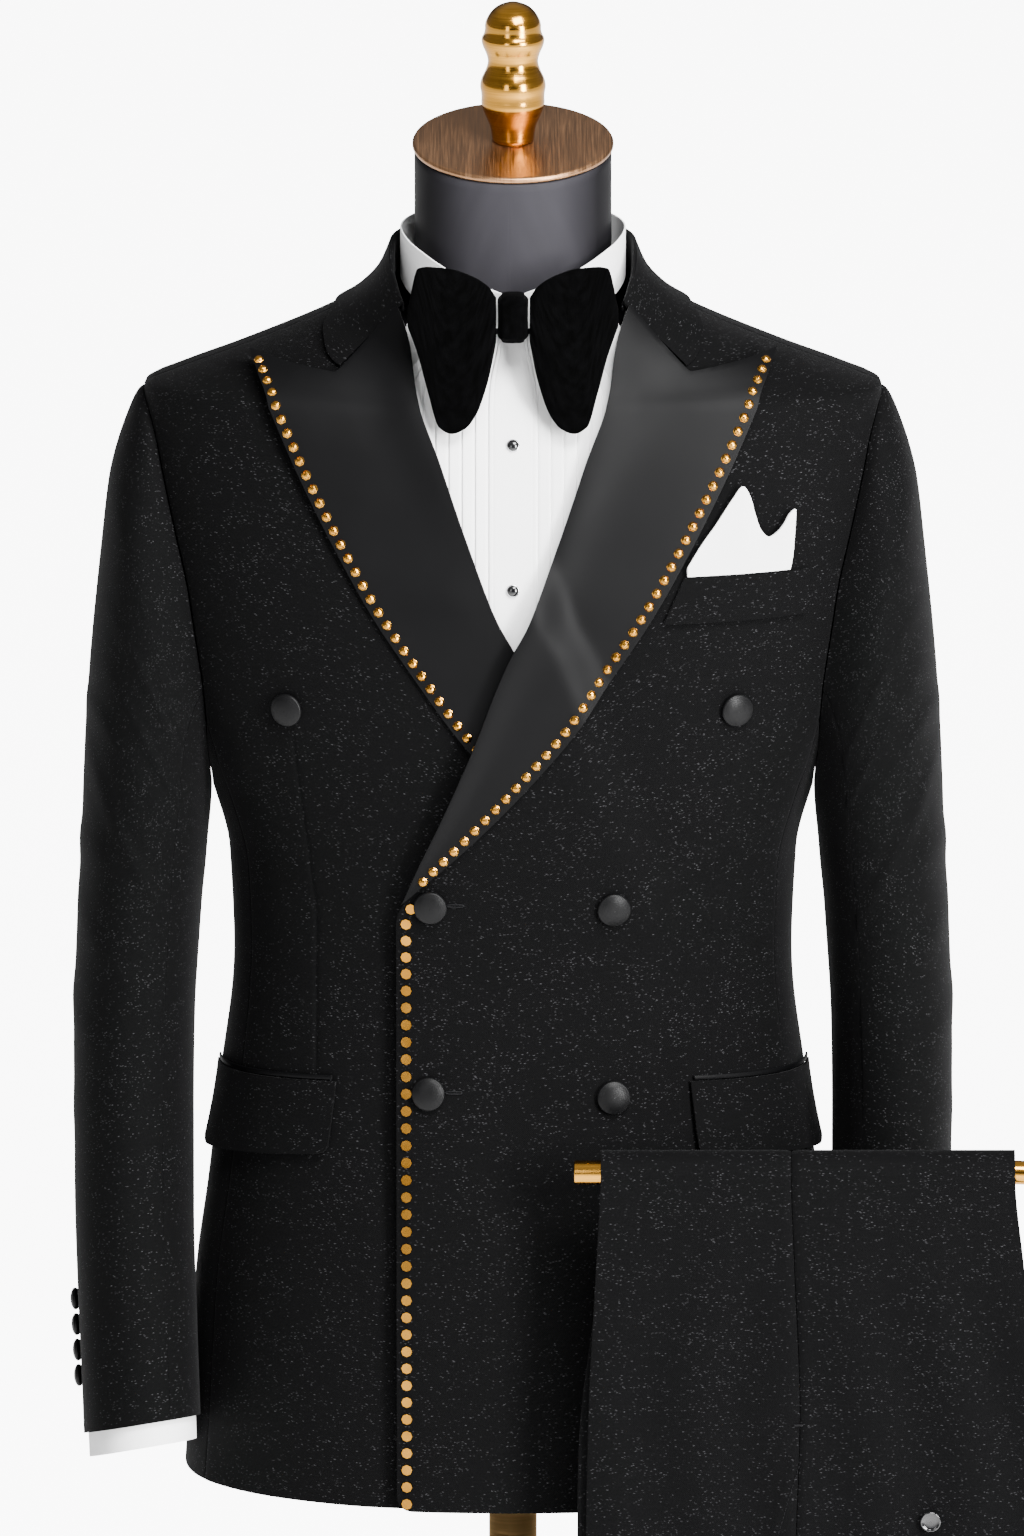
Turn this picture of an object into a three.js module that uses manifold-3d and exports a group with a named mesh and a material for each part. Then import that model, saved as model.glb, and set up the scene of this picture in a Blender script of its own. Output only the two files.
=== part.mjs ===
// A double-breasted tuxedo on a dress form, with its shirt, bow tie and pocket square,
// and its trousers folded over a rail in front of the jacket.
// Millimetres. +Z is up, the front faces -Y, and the origin is on the floor under the pole.
// Left and right are the wearer's own: the wearer's left is at +X.

import * as THREE from "three";
import Module from "manifold-3d";
import { mergeVertices } from "three/addons/utils/BufferGeometryUtils.js";

const wasm = await Module();
wasm.setup();

// Walls and gaps
const jacketCloth = 1.8;
const sleeveCloth = 1.6;
const shirtCloth = 1.0;
const trouserCloth = 1.6;
const seamGap = 0.3;
const layerGap = 1.1;
const seamAngle = 0.0012;

// Heights above the floor
const hemHeight = 700;
const shoulderTip = 1390;
const capHeight = 1540;
const railHeight = 928;

// The roundness of every section through the body: 2 is an ellipse, more is squarer.
const roundness = 2.3;

// The jacket's outer face, section by section.
const bodySections = [
  { height: 700, halfWidth: 205.5, front: 140, back: 118 },
  { height: 830, halfWidth: 197.5, front: 135, back: 121 },
  { height: 902, halfWidth: 188, front: 128, back: 111 },
  { height: 955, halfWidth: 182, front: 121, back: 100 },
  { height: 1038, halfWidth: 174.3, front: 113, back: 87 },
  { height: 1094, halfWidth: 177, front: 117, back: 92 },
  { height: 1136, halfWidth: 188, front: 121, back: 99 },
  { height: 1170, halfWidth: 199.5, front: 123, back: 105 },
  { height: 1210, halfWidth: 210, front: 124.5, back: 110 },
  { height: 1260, halfWidth: 221, front: 124, back: 113 },
  { height: 1309, halfWidth: 228, front: 117, back: 112 },
  { height: 1350, halfWidth: 231, front: 107, back: 105 },
  { height: 1390, halfWidth: 230, front: 90, back: 92 },
  { height: 1399, halfWidth: 211, front: 84, back: 88 },
  { height: 1411.5, halfWidth: 177, front: 78, back: 83 },
  { height: 1437.5, halfWidth: 114, front: 68, back: 75 },
  { height: 1448, halfWidth: 95, front: 65, back: 72 },
  { height: 1462, halfWidth: 81, front: 63, back: 70 },
  { height: 1480, halfWidth: 72.7, front: 61, back: 68 },
];

// The armhole: at each height, the angle from the front at which the front panel ends.
const armholeRows = [
  { height: 1136, angle: 90 },
  { height: 1150, angle: 78 },
  { height: 1186, angle: 68 },
  { height: 1218, angle: 64.6 },
  { height: 1266, angle: 63.4 },
  { height: 1322, angle: 67.2 },
  { height: 1360, angle: 72.5 },
  { height: 1380, angle: 80 },
  { height: 1390, angle: 90 },
];

// The edge of a front from the hem to the neck: how far it lies across the middle (minus) or short of it.
// Below the fold it is the lapped edge, above it the line along which the lapel rolls.
const edgeRows = [
  { height: 700, across: -71 },
  { height: 1074, across: -71 },
  { height: 1088, across: -64.6 },
  { height: 1112, across: -55 },
  { height: 1140, across: -42.5 },
  { height: 1182, across: -25 },
  { height: 1240, across: -2.5 },
  { height: 1267, across: 11.9 },
  { height: 1316, across: 30.6 },
  { height: 1360, across: 46.2 },
  { height: 1397, across: 60.3 },
  { height: 1430, across: 65 },
  { height: 1449, across: 71.6 },
  { height: 1480, across: 84 },
];

// The outer edge of a lapel, from its foot up to the tip of its peak.
const lapelRows = [
  { height: 1093, across: -59 },
  { height: 1126, across: -24.5 },
  { height: 1154.6, across: 3.3 },
  { height: 1191.5, across: 34.8 },
  { height: 1230.6, across: 62.6 },
  { height: 1269.5, across: 88.4 },
  { height: 1301, across: 106.4 },
  { height: 1354.5, across: 134 },
  { height: 1413, across: 161 },
];
const notch = { height: 1409.5, across: 109 };

// The jacket collar from the notch round to the middle of the back, for one half: where its fold
// and its outer edge lie on the body, how far out the fold stands, and the height of the stand.
const collarRows = [
  { turn: 0, foldAngle: 44.8, foldZ: 1450.5, foldOut: 3.4, edgeAngle: 35.9, edgeZ: 1414, stand: 4 },
  { turn: 0.2, foldAngle: 63.5, foldZ: 1463, foldOut: 3.5, edgeAngle: 60, edgeZ: 1429, stand: 10 },
  { turn: 0.42, foldAngle: 90, foldZ: 1477.5, foldOut: 3.7, edgeAngle: 92, edgeZ: 1439.5, stand: 19 },
  { turn: 0.62, foldAngle: 123, foldZ: 1479, foldOut: 4.2, edgeAngle: 122, edgeZ: 1440, stand: 19 },
  { turn: 0.8, foldAngle: 152, foldZ: 1480, foldOut: 4.8, edgeAngle: 150, edgeZ: 1438, stand: 20 },
  { turn: 1, foldAngle: 180, foldZ: 1480, foldOut: 5, edgeAngle: 180, edgeZ: 1436, stand: 20 },
];

// The sleeve from the armhole to the cuff: its outer and inner lines seen from the front,
// half its depth from front to back, how far forward its middle lies, and how far its front stands
// above its back, as a share of the depth.
const sleeveRows = [
  { down: 0, outerX: 230, outerZ: 1389, innerX: 188, innerZ: 1137, halfDepth: 61, forward: 3, lean: 0 },
  { down: 0.06, outerX: 239, outerZ: 1383, innerX: 187.5, innerZ: 1134, halfDepth: 66, forward: 3, lean: 0 },
  { down: 0.12, outerX: 246, outerZ: 1360, innerX: 188, innerZ: 1128, halfDepth: 71, forward: 2, lean: 0 },
  { down: 0.18, outerX: 252, outerZ: 1330, innerX: 189, innerZ: 1118, halfDepth: 74, forward: 2, lean: 0 },
  { down: 0.25, outerX: 257, outerZ: 1288, innerX: 190.5, innerZ: 1104, halfDepth: 76, forward: 2, lean: 0 },
  { down: 0.33, outerX: 262, outerZ: 1240, innerX: 192, innerZ: 1084, halfDepth: 76, forward: 2, lean: 0 },
  { down: 0.42, outerX: 266, outerZ: 1186, innerX: 194.5, innerZ: 1060, halfDepth: 74, forward: 4, lean: 0 },
  { down: 0.5, outerX: 269, outerZ: 1128, innerX: 196.5, innerZ: 1032, halfDepth: 72, forward: 7, lean: 0.01 },
  { down: 0.6, outerX: 272.5, outerZ: 1054, innerX: 198.5, innerZ: 989, halfDepth: 69, forward: 13, lean: 0.03 },
  { down: 0.7, outerX: 275, outerZ: 973, innerX: 199.5, innerZ: 926, halfDepth: 66, forward: 22, lean: 0.07 },
  { down: 0.8, outerX: 274.5, outerZ: 892, innerX: 199.3, innerZ: 865, halfDepth: 62, forward: 34, lean: 0.12 },
  { down: 0.9, outerX: 272, outerZ: 811, innerX: 197.5, innerZ: 804, halfDepth: 58, forward: 48, lean: 0.18 },
  { down: 1, outerX: 268.5, outerZ: 731, innerX: 195.5, innerZ: 743, halfDepth: 54, forward: 63, lean: 0.23 },
];
const sleeveRoundness = 2.15;
const elbowSeam = { atTop: 150, atCuff: 118 };
const foreSeam = -28;

// Buttons and studs
const frontButton = { radius: 10.6, height: 5.4 };
const cuffButton = { radius: 7, height: 5 };
const shirtStud = { radius: 3.6, height: 3 };
const goldStud = { radius: 3.2, height: 2.4, sides: 5, sunk: 0.9 };
const edgeStud = { radius: 3.6, height: 2.6, sides: 5, sunk: 0.9 };

const toRadians = THREE.MathUtils.degToRad;
const clamp01 = (value) => Math.min(1, Math.max(0, value));
const ease = (value) => clamp01(value) ** 2 * (3 - 2 * clamp01(value));
const mix = THREE.MathUtils.lerp;

// A smooth curve through one column of a table, over another column, that never overshoots its rows.
function column(rows, over, name) {
  const at = rows.map((row) => row[over]);
  const value = rows.map((row) => row[name]);
  const rise = at.slice(1).map((x, i) => (value[i + 1] - value[i]) / (x - at[i]));
  const slope = at.map((_, i) => {
    if (i === 0) return rise[0];
    if (i === at.length - 1) return rise[i - 1];
    const [a, b] = [rise[i - 1], rise[i]];
    return a * b <= 0 ? 0 : (2 * a * b) / (a + b);
  });
  return (x) => {
    if (x <= at[0]) return value[0];
    if (x >= at[at.length - 1]) return value[at.length - 1];
    const i = at.findIndex((next) => next > x) - 1;
    const step = at[i + 1] - at[i];
    const t = (x - at[i]) / step;
    const bend = (slope[i] * (1 - t) - slope[i + 1] * t) * step * t * (1 - t);
    const line = mix(value[i], value[i + 1], ease(t));
    return line + bend;
  };
}

const halfWidth = column(bodySections, "height", "halfWidth");
const frontDepth = column(bodySections, "height", "front");
const backDepth = column(bodySections, "height", "back");
const armholeAngle = column(armholeRows, "height", "angle");
const edgeAcross = column(edgeRows, "height", "across");

// A point of the body, moved out along the true normal of its surface.
function moveOut(x, y, z, out) {
  const depth = y < 0 ? frontDepth : backDepth;
  const rate = (size) => (size(z + 1) - size(z - 1)) / 2;
  const across = (Math.abs(x) / halfWidth(z)) ** roundness;
  const along = (Math.abs(y) / depth(z)) ** roundness;
  const normal = new THREE.Vector3(
    x === 0 ? 0 : across / x,
    y === 0 ? 0 : along / y,
    -(across * rate(halfWidth)) / halfWidth(z) - (along * rate(depth)) / depth(z),
  );
  return new THREE.Vector3(x, y, z).addScaledVector(normal.normalize(), out);
}

// The body by angle: 0 is the front, 90 the wearer's left and 180 the back.
function bodyPoint(angle, z, out = 0) {
  const [s, c] = [Math.sin(toRadians(angle)), Math.cos(toRadians(angle))];
  const depth = c > 0 ? frontDepth(z) : backDepth(z);
  const x = halfWidth(z) * Math.sign(s) * Math.abs(s) ** (2 / roundness);
  const y = -depth * Math.sign(c) * Math.abs(c) ** (2 / roundness);
  return moveOut(x, y, z, out);
}

function angleAt(x, z) {
  const share = Math.min(1, Math.abs(x) / halfWidth(z));
  return Math.sign(x) * THREE.MathUtils.radToDeg(Math.asin(share ** (roundness / 2)));
}

const frontPoint = (x, z, out = 0) => bodyPoint(angleAt(x, z), z, out);

// How far the lapped front stands out over the front and the lapel under it.
const lapHeight = 2 * (jacketCloth + layerGap) + 2.5;
const lapRun = 32;
function lapLift(x, z) {
  const underEdge = 10 - edgeAcross(z);
  return lapHeight * ease(1 - (x - underEdge) / lapRun);
}

// Rows of points, worked out from two parameters that each run from 0 to 1.
function grid(rowCount, columnCount, place) {
  return Array.from({ length: rowCount + 1 }, (_, i) =>
    Array.from({ length: columnCount + 1 }, (_, j) => place(j / columnCount, i / rowCount)),
  );
}

const mirrorRows = (rows) =>
  rows.map((row) => row.map((p) => new THREE.Vector3(-p.x, p.y, p.z)).reverse());

// The normals of rows that run upwards with their points going round to the wearer's left.
function rowNormals(rows, isRound) {
  const [count, width] = [rows.length, rows[0].length];
  const wrap = (j) => (isRound ? (j + width) % width : Math.min(width - 1, Math.max(0, j)));
  return rows.map((row, i) =>
    row.map((_, j) => {
      const around = new THREE.Vector3().subVectors(row[wrap(j + 1)], row[wrap(j - 1)]);
      const up = rows[Math.min(count - 1, i + 1)][j].clone().sub(rows[Math.max(0, i - 1)][j]);
      return around.cross(up).normalize();
    }),
  );
}

function fromFaces(points, faces) {
  let volume = 0;
  for (const [a, b, c] of faces) {
    volume += points[a].dot(new THREE.Vector3().crossVectors(points[b], points[c]));
  }
  const geometry = new THREE.BufferGeometry();
  geometry.setAttribute("position", new THREE.Float32BufferAttribute(points.flatMap((p) => p.toArray()), 3));
  geometry.setIndex(faces.flatMap(([a, b, c]) => (volume < 0 ? [a, c, b] : [a, b, c])));
  return geometry;
}

// A closed solid between an outer and an inner face of the same rows.
function between(outer, inner, isRound = false) {
  const [count, width] = [outer.length, outer[0].length];
  const size = count * width;
  const at = (i, j, deep) => (deep ? size : 0) + i * width + (j % width);
  const faces = [];
  const quad = (a, b, c, d) => faces.push([a, b, c], [a, c, d]);
  const columns = isRound ? width : width - 1;
  for (let i = 0; i < count - 1; i += 1) {
    for (let j = 0; j < columns; j += 1) {
      quad(at(i, j), at(i, j + 1), at(i + 1, j + 1), at(i + 1, j));
      quad(at(i, j, true), at(i + 1, j, true), at(i + 1, j + 1, true), at(i, j + 1, true));
    }
    if (!isRound) {
      quad(at(i, 0), at(i + 1, 0), at(i + 1, 0, true), at(i, 0, true));
      quad(at(i, columns), at(i, columns, true), at(i + 1, columns, true), at(i + 1, columns));
    }
  }
  for (let j = 0; j < columns; j += 1) {
    quad(at(0, j), at(0, j, true), at(0, j + 1, true), at(0, j + 1));
    quad(at(count - 1, j), at(count - 1, j + 1), at(count - 1, j + 1, true), at(count - 1, j, true));
  }
  return fromFaces([...outer.flat(), ...inner.flat()], faces);
}

// A wall of cloth: the rows are its outer face.
function wall(rows, thickness, isRound = false) {
  const normals = rowNormals(rows, isRound);
  const inner = rows.map((row, i) =>
    row.map((p, j) => p.clone().addScaledVector(normals[i][j], -thickness)),
  );
  return between(rows, inner, isRound);
}

// A solid of stacked rings, closed at both ends.
function stack(rings) {
  const width = rings[0].length;
  const points = rings.flat();
  const faces = [];
  for (let i = 0; i < rings.length - 1; i += 1) {
    for (let j = 0; j < width; j += 1) {
      const [a, b] = [i * width + j, i * width + ((j + 1) % width)];
      faces.push([a, b, b + width], [a, b + width, a + width]);
    }
  }
  for (const [start, isTop] of [[0, false], [(rings.length - 1) * width, true]]) {
    const middle = new THREE.Vector3();
    for (let j = 0; j < width; j += 1) middle.addScaledVector(points[start + j], 1 / width);
    points.push(middle);
    for (let j = 0; j < width; j += 1) {
      const [a, b] = [start + j, start + ((j + 1) % width)];
      faces.push(isTop ? [a, b, points.length - 1] : [b, a, points.length - 1]);
    }
  }
  return fromFaces(points, faces);
}

// A round rod whose middle follows a list of points.
function rod(route, radius, sides) {
  const rings = route.map((p, i) => {
    const ahead = route[Math.min(route.length - 1, i + 1)];
    const behind = route[Math.max(0, i - 1)];
    return { p, way: ahead.clone().sub(behind).normalize() };
  });
  let side = new THREE.Vector3(0, 0, 1).cross(rings[0].way);
  if (side.length() < 0.1) side = new THREE.Vector3(1, 0, 0);
  return stack(
    rings.map(({ p, way }) => {
      side.addScaledVector(way, -side.dot(way)).normalize();
      const other = new THREE.Vector3().crossVectors(way, side);
      const first = side.clone();
      return Array.from({ length: sides }, (_, k) => {
        const turn = (2 * Math.PI * k) / sides;
        return p
          .clone()
          .addScaledVector(first, radius * Math.cos(turn))
          .addScaledVector(other, radius * Math.sin(turn));
      });
    }),
  );
}

// A turned piece: radius and height pairs from the axis round to the axis, standing along +Z.
function turned(profile, sides) {
  const geometry = new THREE.LatheGeometry(profile.map(([r, z]) => new THREE.Vector2(r, z)), sides);
  return geometry.rotateX(Math.PI / 2);
}

const asSolid = (geometry) => {
  const bare = new THREE.BufferGeometry();
  bare.setAttribute("position", geometry.getAttribute("position").clone());
  if (geometry.index) bare.setIndex(geometry.index.clone());
  const merged = mergeVertices(bare, 1e-4);
  const triVerts = [];
  const index = merged.index.array;
  for (let i = 0; i < index.length; i += 3) {
    const [a, b, c] = [index[i], index[i + 1], index[i + 2]];
    if (a !== b && b !== c && c !== a) triVerts.push(a, b, c);
  }
  return new wasm.Manifold(
    new wasm.Mesh({
      numProp: 3,
      vertProperties: new Float32Array(merged.getAttribute("position").array),
      triVerts: new Uint32Array(triVerts),
    }),
  );
};

// One geometry out of a base and the pieces set into it.
function fused(base, pieces) {
  const solid = pieces.reduce((sum, piece) => sum.add(asSolid(piece)), asSolid(base));
  const mesh = solid.getMesh();
  const geometry = new THREE.BufferGeometry();
  geometry.setAttribute("position", new THREE.Float32BufferAttribute(mesh.vertProperties, 3));
  geometry.setIndex([...mesh.triVerts]);
  return geometry;
}

// Finishes
const finish = (color, roughness, metalness = 0) => ({ color, roughness, metalness });
const finishes = {
  twill: finish(0x17181a, 0.85),
  satin: finish(0x2b2c30, 0.4),
  velvet: finish(0x050505, 1),
  linen: finish(0xf2f2f2, 0.8),
  form: finish(0x38373b, 0.45),
  brass: finish(0x9a7136, 0.35, 1),
  blackStud: finish(0x080808, 0.2),
};

const tuxedo = new THREE.Group();
function add(name, geometry, finishName) {
  geometry.computeVertexNormals();
  const mesh = new THREE.Mesh(geometry, new THREE.MeshStandardMaterial(finishes[finishName]));
  mesh.name = name;
  tuxedo.add(mesh);
  return mesh;
}

// The heights of the rows of a panel, closer together where the shoulder turns in.
const lowRows = [0, 2.5, 7, 16, 80, 150, 210, 270, 330, 383, 410, 445, 486].map((rise) => hemHeight + rise);
const highRows = [1215, 1245, 1275, 1305, 1335, 1360, 1376, 1386, 1389.5, 1394]
  .concat([1400, 1407, 1414.5, 1424, 1434, 1444, 1455]);
const hemCorner = 9;
const sideSeam = 68;
const sideSeamTop = 1186;

// A front is cut back at its lower corner by a quarter of a circle.
const cornerCut = (z) => hemCorner - Math.sqrt(Math.max(0, hemCorner ** 2 - Math.max(0, hemCorner + hemHeight - z) ** 2));

function frontEnd(z) {
  if (z <= sideSeamTop) return sideSeam;
  return z >= shoulderTip ? 90 : armholeAngle(z);
}

// A panel's rows at some distance out from the body, from one angle to another at each height.
function panelRows(heights, columns, start, end, out) {
  return heights.map((z) =>
    Array.from({ length: columns + 1 }, (_, j) => {
      const angle = mix(start(z), end(z), j / columns);
      return bodyPoint(angle, z, out(bodyPoint(angle, z).x, z));
    }),
  );
}

const seamTurnAngle = THREE.MathUtils.radToDeg(seamAngle);
const frontHeights = [...lowRows, ...highRows];
const frontStart = (z) => angleAt(edgeAcross(z) + cornerCut(z), z);
const frontSeam = (z) => frontEnd(z) - seamTurnAngle;
const backSeam = (z) => 180 - frontEnd(z) + seamTurnAngle;
const middleBack = () => 180 - seamTurnAngle;
const upperFront = (deep) =>
  panelRows(frontHeights, 9, frontStart, frontSeam, (x, z) => lapLift(x, z) - deep);
const underFront = (deep) => panelRows(frontHeights, 9, frontStart, frontSeam, () => -deep);
const backPanel = (deep) => panelRows([...frontHeights, 1458], 5, backSeam, middleBack, () => -deep);

// A side panel fills the space between the seams, up to the round foot of the armhole.
function sidePanel(deep) {
  const foot = armholeRows[0].height - seamGap;
  return lowRows.map((row) =>
    Array.from({ length: 7 }, (_, j) => {
      const angle = mix(sideSeam + seamTurnAngle, 180 - sideSeam - seamTurnAngle, j / 6);
      const away = (angle - 90) / (90 - sideSeam);
      const top = mix(foot, sideSeamTop, away ** 2);
      const share = (row - hemHeight) / (sideSeamTop - hemHeight);
      return bodyPoint(angle, mix(hemHeight, top, share), -deep);
    }),
  );
}

// A lapel is a patch between the roll line, its outer edge, its narrow foot and its peak and notch.
// It is worked out flat, as across and height, and laid on the front.
const lapelHeight = column(lapelRows.map((row, i) => ({ ...row, at: i / (lapelRows.length - 1) })), "at", "height");
const lapelAcross = column(lapelRows, "height", "across");
const rollTop = 1447.5;
const rollFoot = 1085;
const rollOver = 1.2;

function lapelFlat(u, v) {
  const rollZ = mix(rollFoot, rollTop, v);
  const roll = [edgeAcross(rollZ) - rollOver, rollZ];
  const rim = [lapelAcross(lapelHeight(v)), lapelHeight(v)];
  const tip = lapelRows[lapelRows.length - 1];
  const [half, rest] = [Math.min(1, 2 * u), Math.max(0, 2 * u - 1)];
  const top = [
    mix(mix(edgeAcross(rollTop) - rollOver, notch.across, half), tip.across, rest),
    mix(mix(rollTop, notch.height, half), tip.height, rest),
  ];
  return [0, 1].map((k) => {
    const ends = mix([edgeAcross(rollTop) - rollOver, rollTop][k], [tip.across, tip.height][k], u);
    return mix(roll[k], rim[k], u) + v ** 3 * (top[k] - ends);
  });
}

const rollBulge = 3.2;
const peakLift = 6.2;
const lapelSpan = 12;
function lapelPoint(u, v, isUpper, out = 0) {
  const [x, z] = lapelFlat(u, v);
  const free = isUpper ? 1 : ease((z - 1295) / 60);
  const roll = free * rollBulge * Math.exp(-((u / 0.22) ** 2)) * ease(v / 0.2);
  const lift = layerGap + (isUpper ? 0.6 : 0) + jacketCloth + roll + peakLift * u ** 2 * v ** 6;
  return frontPoint(x, z, lift + (isUpper ? lapLift(x - lapelSpan, z) : 0) + out);
}

// Where a stud sits on rows of cloth: a set way in from one end of a row, between two rows.
function seatOn(rows, rowAt, inset, fromEnd) {
  const i = Math.min(rows.length - 2, Math.floor(rowAt));
  const pick = (row) => {
    const line = fromEnd ? [...row].reverse() : row;
    let left = inset;
    for (let k = 0; k < line.length - 1; k += 1) {
      const step = line[k].distanceTo(line[k + 1]);
      if (left <= step) return line[k].clone().lerp(line[k + 1], left / step);
      left -= step;
    }
    return line[line.length - 1].clone();
  };
  const [low, high] = [pick(rows[i]), pick(rows[i + 1])];
  const inward = pick(rows[i]).sub(fromEnd ? rows[i][rows[i].length - 1] : rows[i][0]);
  const normal = inward.cross(high.clone().sub(low)).multiplyScalar(fromEnd ? -1 : 1).normalize();
  return { point: low.lerp(high, rowAt - i), normal };
}

// A line of faceted studs, evenly spaced along the end of the rows, points up.
function studLine(rows, stud, { count, inset, fromEnd, start, end }) {
  const line = rows.map((_, i) => seatOn(rows, i, inset, fromEnd).point);
  const length = [0];
  for (let i = 1; i < line.length; i += 1) length.push(length[i - 1] + line[i].distanceTo(line[i - 1]));
  const whole = length[length.length - 1];
  return Array.from({ length: count }, (_, k) => {
    const far = mix(start, whole - end, k / (count - 1));
    const i = Math.min(rows.length - 2, length.findIndex((next) => next > far) - 1);
    const rowAt = i + (far - length[i]) / (length[i + 1] - length[i]);
    const { point, normal } = seatOn(rows, rowAt, inset, fromEnd);
    const cone = new THREE.ConeGeometry(stud.radius, stud.height + stud.sunk, stud.sides);
    cone.translate(0, (stud.height - stud.sunk) / 2, 0);
    const turn = new THREE.Quaternion().setFromUnitVectors(new THREE.Vector3(0, 1, 0), normal);
    return cone.applyQuaternion(turn).translate(point.x, point.y, point.z);
  });
}

const studRows = frontHeights.filter((z) => z < 1084).map((z) =>
  [0, 4, 8, 12, 16].map((away) => frontPoint(edgeAcross(z) + away, z, lapLift(edgeAcross(z) + away, z))),
);
const frontStuds = studLine(studRows, edgeStud, { count: 36, inset: 6.5, fromEnd: false, start: 5, end: 1.5 });

const panel = (place) => between(place(0), place(jacketCloth));
const mirrorPanel = (place) => between(mirrorRows(place(0)), mirrorRows(place(jacketCloth)));
add("jacket_front_left", fused(panel(upperFront), frontStuds), "twill");
add("jacket_front_right", mirrorPanel(underFront), "twill");
add("jacket_side_left", panel(sidePanel), "twill");
add("jacket_side_right", mirrorPanel(sidePanel), "twill");
add("jacket_back_left", panel(backPanel), "twill");
add("jacket_back_right", mirrorPanel(backPanel), "twill");

const lapelRowsOf = (isUpper) => grid(17, 7, (u, v) => lapelPoint(u, v, isUpper));
const mirrorPiece = (geometry) => {
  const mirrored = geometry.clone().scale(-1, 1, 1);
  const index = [...(mirrored.index ? mirrored.index.array : Array(mirrored.attributes.position.count).keys())];
  for (let i = 0; i < index.length; i += 3) [index[i], index[i + 1]] = [index[i + 1], index[i]];
  mirrored.setIndex(index);
  return mirrored;
};
const lapelOf = (isUpper, count, start, inset) => {
  const rows = lapelRowsOf(isUpper);
  const line = { count, inset, fromEnd: true, start, end: 12 };
  return fused(wall(rows, jacketCloth), studLine(rows, goldStud, line));
};
const leftLapel = lapelOf(true, 44, 15, 6);
const rightLapel = lapelOf(false, 31, 128, 5);
add("lapel_left", leftLapel, "satin");
add("lapel_right", mirrorPiece(rightLapel), "satin");

// The collar: from its edge on the shoulders up to the fold and down again inside as the stand.
const collar = (name) => column(collarRows, "turn", name);
const [foldAngle, foldZ, foldOut] = ["foldAngle", "foldZ", "foldOut"].map(collar);
const [edgeAngle, edgeZ, standHeight] = ["edgeAngle", "edgeZ", "stand"].map(collar);
const collarCloth = 1.5;
const foldWidth = 3.8;

function collarPoint(turn, up) {
  const edgeOut = layerGap + collarCloth;
  const leaf = Math.min(1, up);
  const over = clamp01(up - 1) * Math.PI;
  const down = Math.max(0, up - 2);
  const out = mix(edgeOut, foldOut(turn), leaf ** 1.5) - (foldWidth / 2) * (1 - Math.cos(over));
  const z = mix(edgeZ(turn), foldZ(turn), leaf) + (foldWidth / 2) * Math.sin(over) - down * standHeight(turn);
  const angle = mix(edgeAngle(turn), foldAngle(turn), leaf);
  const base = bodyPoint(angle, up > 1 ? foldZ(turn) : z, out);
  return up > 1 ? base.setZ(base.z + z - foldZ(turn)) : base;
}

const collarSteps = [0, 0.4, 0.75, 1, 1.4, 2, 3];
const halfCollar = collarSteps.map((up) =>
  Array.from({ length: 11 }, (_, j) => collarPoint(j / 10, up)),
);
const wholeCollar = halfCollar.map((row) => [
  ...row,
  ...row.slice(0, -1).reverse().map((p) => new THREE.Vector3(-p.x, p.y, p.z)),
]);
add("jacket_collar", wall(wholeCollar, collarCloth), "twill");

// A sleeve in two cuts, seamed in front and behind.
const sleeve = (name) => column(sleeveRows, "down", name);
const [outerX, outerZ, innerX, innerZ] = ["outerX", "outerZ", "innerX", "innerZ"].map(sleeve);
const [sleeveDepth, sleeveForward, sleeveLean] = ["halfDepth", "forward", "lean"].map(sleeve);
const armholeBlend = 0.18;

function sleevePoint(turn, down) {
  const [s, c] = [Math.sin(toRadians(turn)), Math.cos(toRadians(turn))];
  const round = (value) => Math.sign(value) * Math.abs(value) ** (2 / sleeveRoundness);
  const outer = new THREE.Vector3(outerX(down), 0, outerZ(down));
  const inner = new THREE.Vector3(innerX(down), 0, innerZ(down));
  const half = outer.clone().sub(inner).multiplyScalar(0.5);
  const middle = outer.clone().add(inner).multiplyScalar(0.5);
  const point = middle.addScaledVector(half, round(s));
  point.y = -sleeveForward(down) - round(c) * sleeveDepth(down);
  point.z += sleeveLean(down) * round(c) * sleeveDepth(down);
  const [low, high] = [armholeRows[0].height + 2.2, shoulderTip - 1.2];
  const z = mix(low, high, (1 + s) / 2);
  const angle = armholeAngle(z) + 0.6;
  const start = bodyPoint(c >= 0 ? Math.min(90, angle) : Math.max(90, 180 - angle), z);
  return start.lerp(point, ease(down / armholeBlend));
}

const downSteps = [1, 0.87, 0.74, 0.62, 0.5, 0.4, 0.32, 0.25, 0.19, 0.13, 0.08, 0.04, 0.012, 0];
const elbowAt = (down) => mix(elbowSeam.atTop, elbowSeam.atCuff, ease(down / 0.9));
const seamTurn = 0.12;
const sleeveStep = 0.004;
function sleeveInner(turn, down) {
  const around = sleevePoint(turn + 1, down).sub(sleevePoint(turn - 1, down));
  const up = sleevePoint(turn, down).sub(sleevePoint(turn, down + sleeveStep));
  return sleevePoint(turn, down).addScaledVector(around.cross(up).normalize(), -sleeveCloth);
}

// One cut of a sleeve between two seams, as its outer or its inner face.
const sleeveCut = (from, to, columns) => (place) =>
  downSteps.map((down) =>
    Array.from({ length: columns + 1 }, (_, j) => place(mix(from(down), to(down), j / columns), down)),
  );
const topSleeve = sleeveCut(() => foreSeam + seamTurn, (down) => elbowAt(down) - seamTurn, 10);
const underSleeve = sleeveCut((down) => elbowAt(down) + seamTurn, () => 360 + foreSeam - seamTurn, 8);

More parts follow.
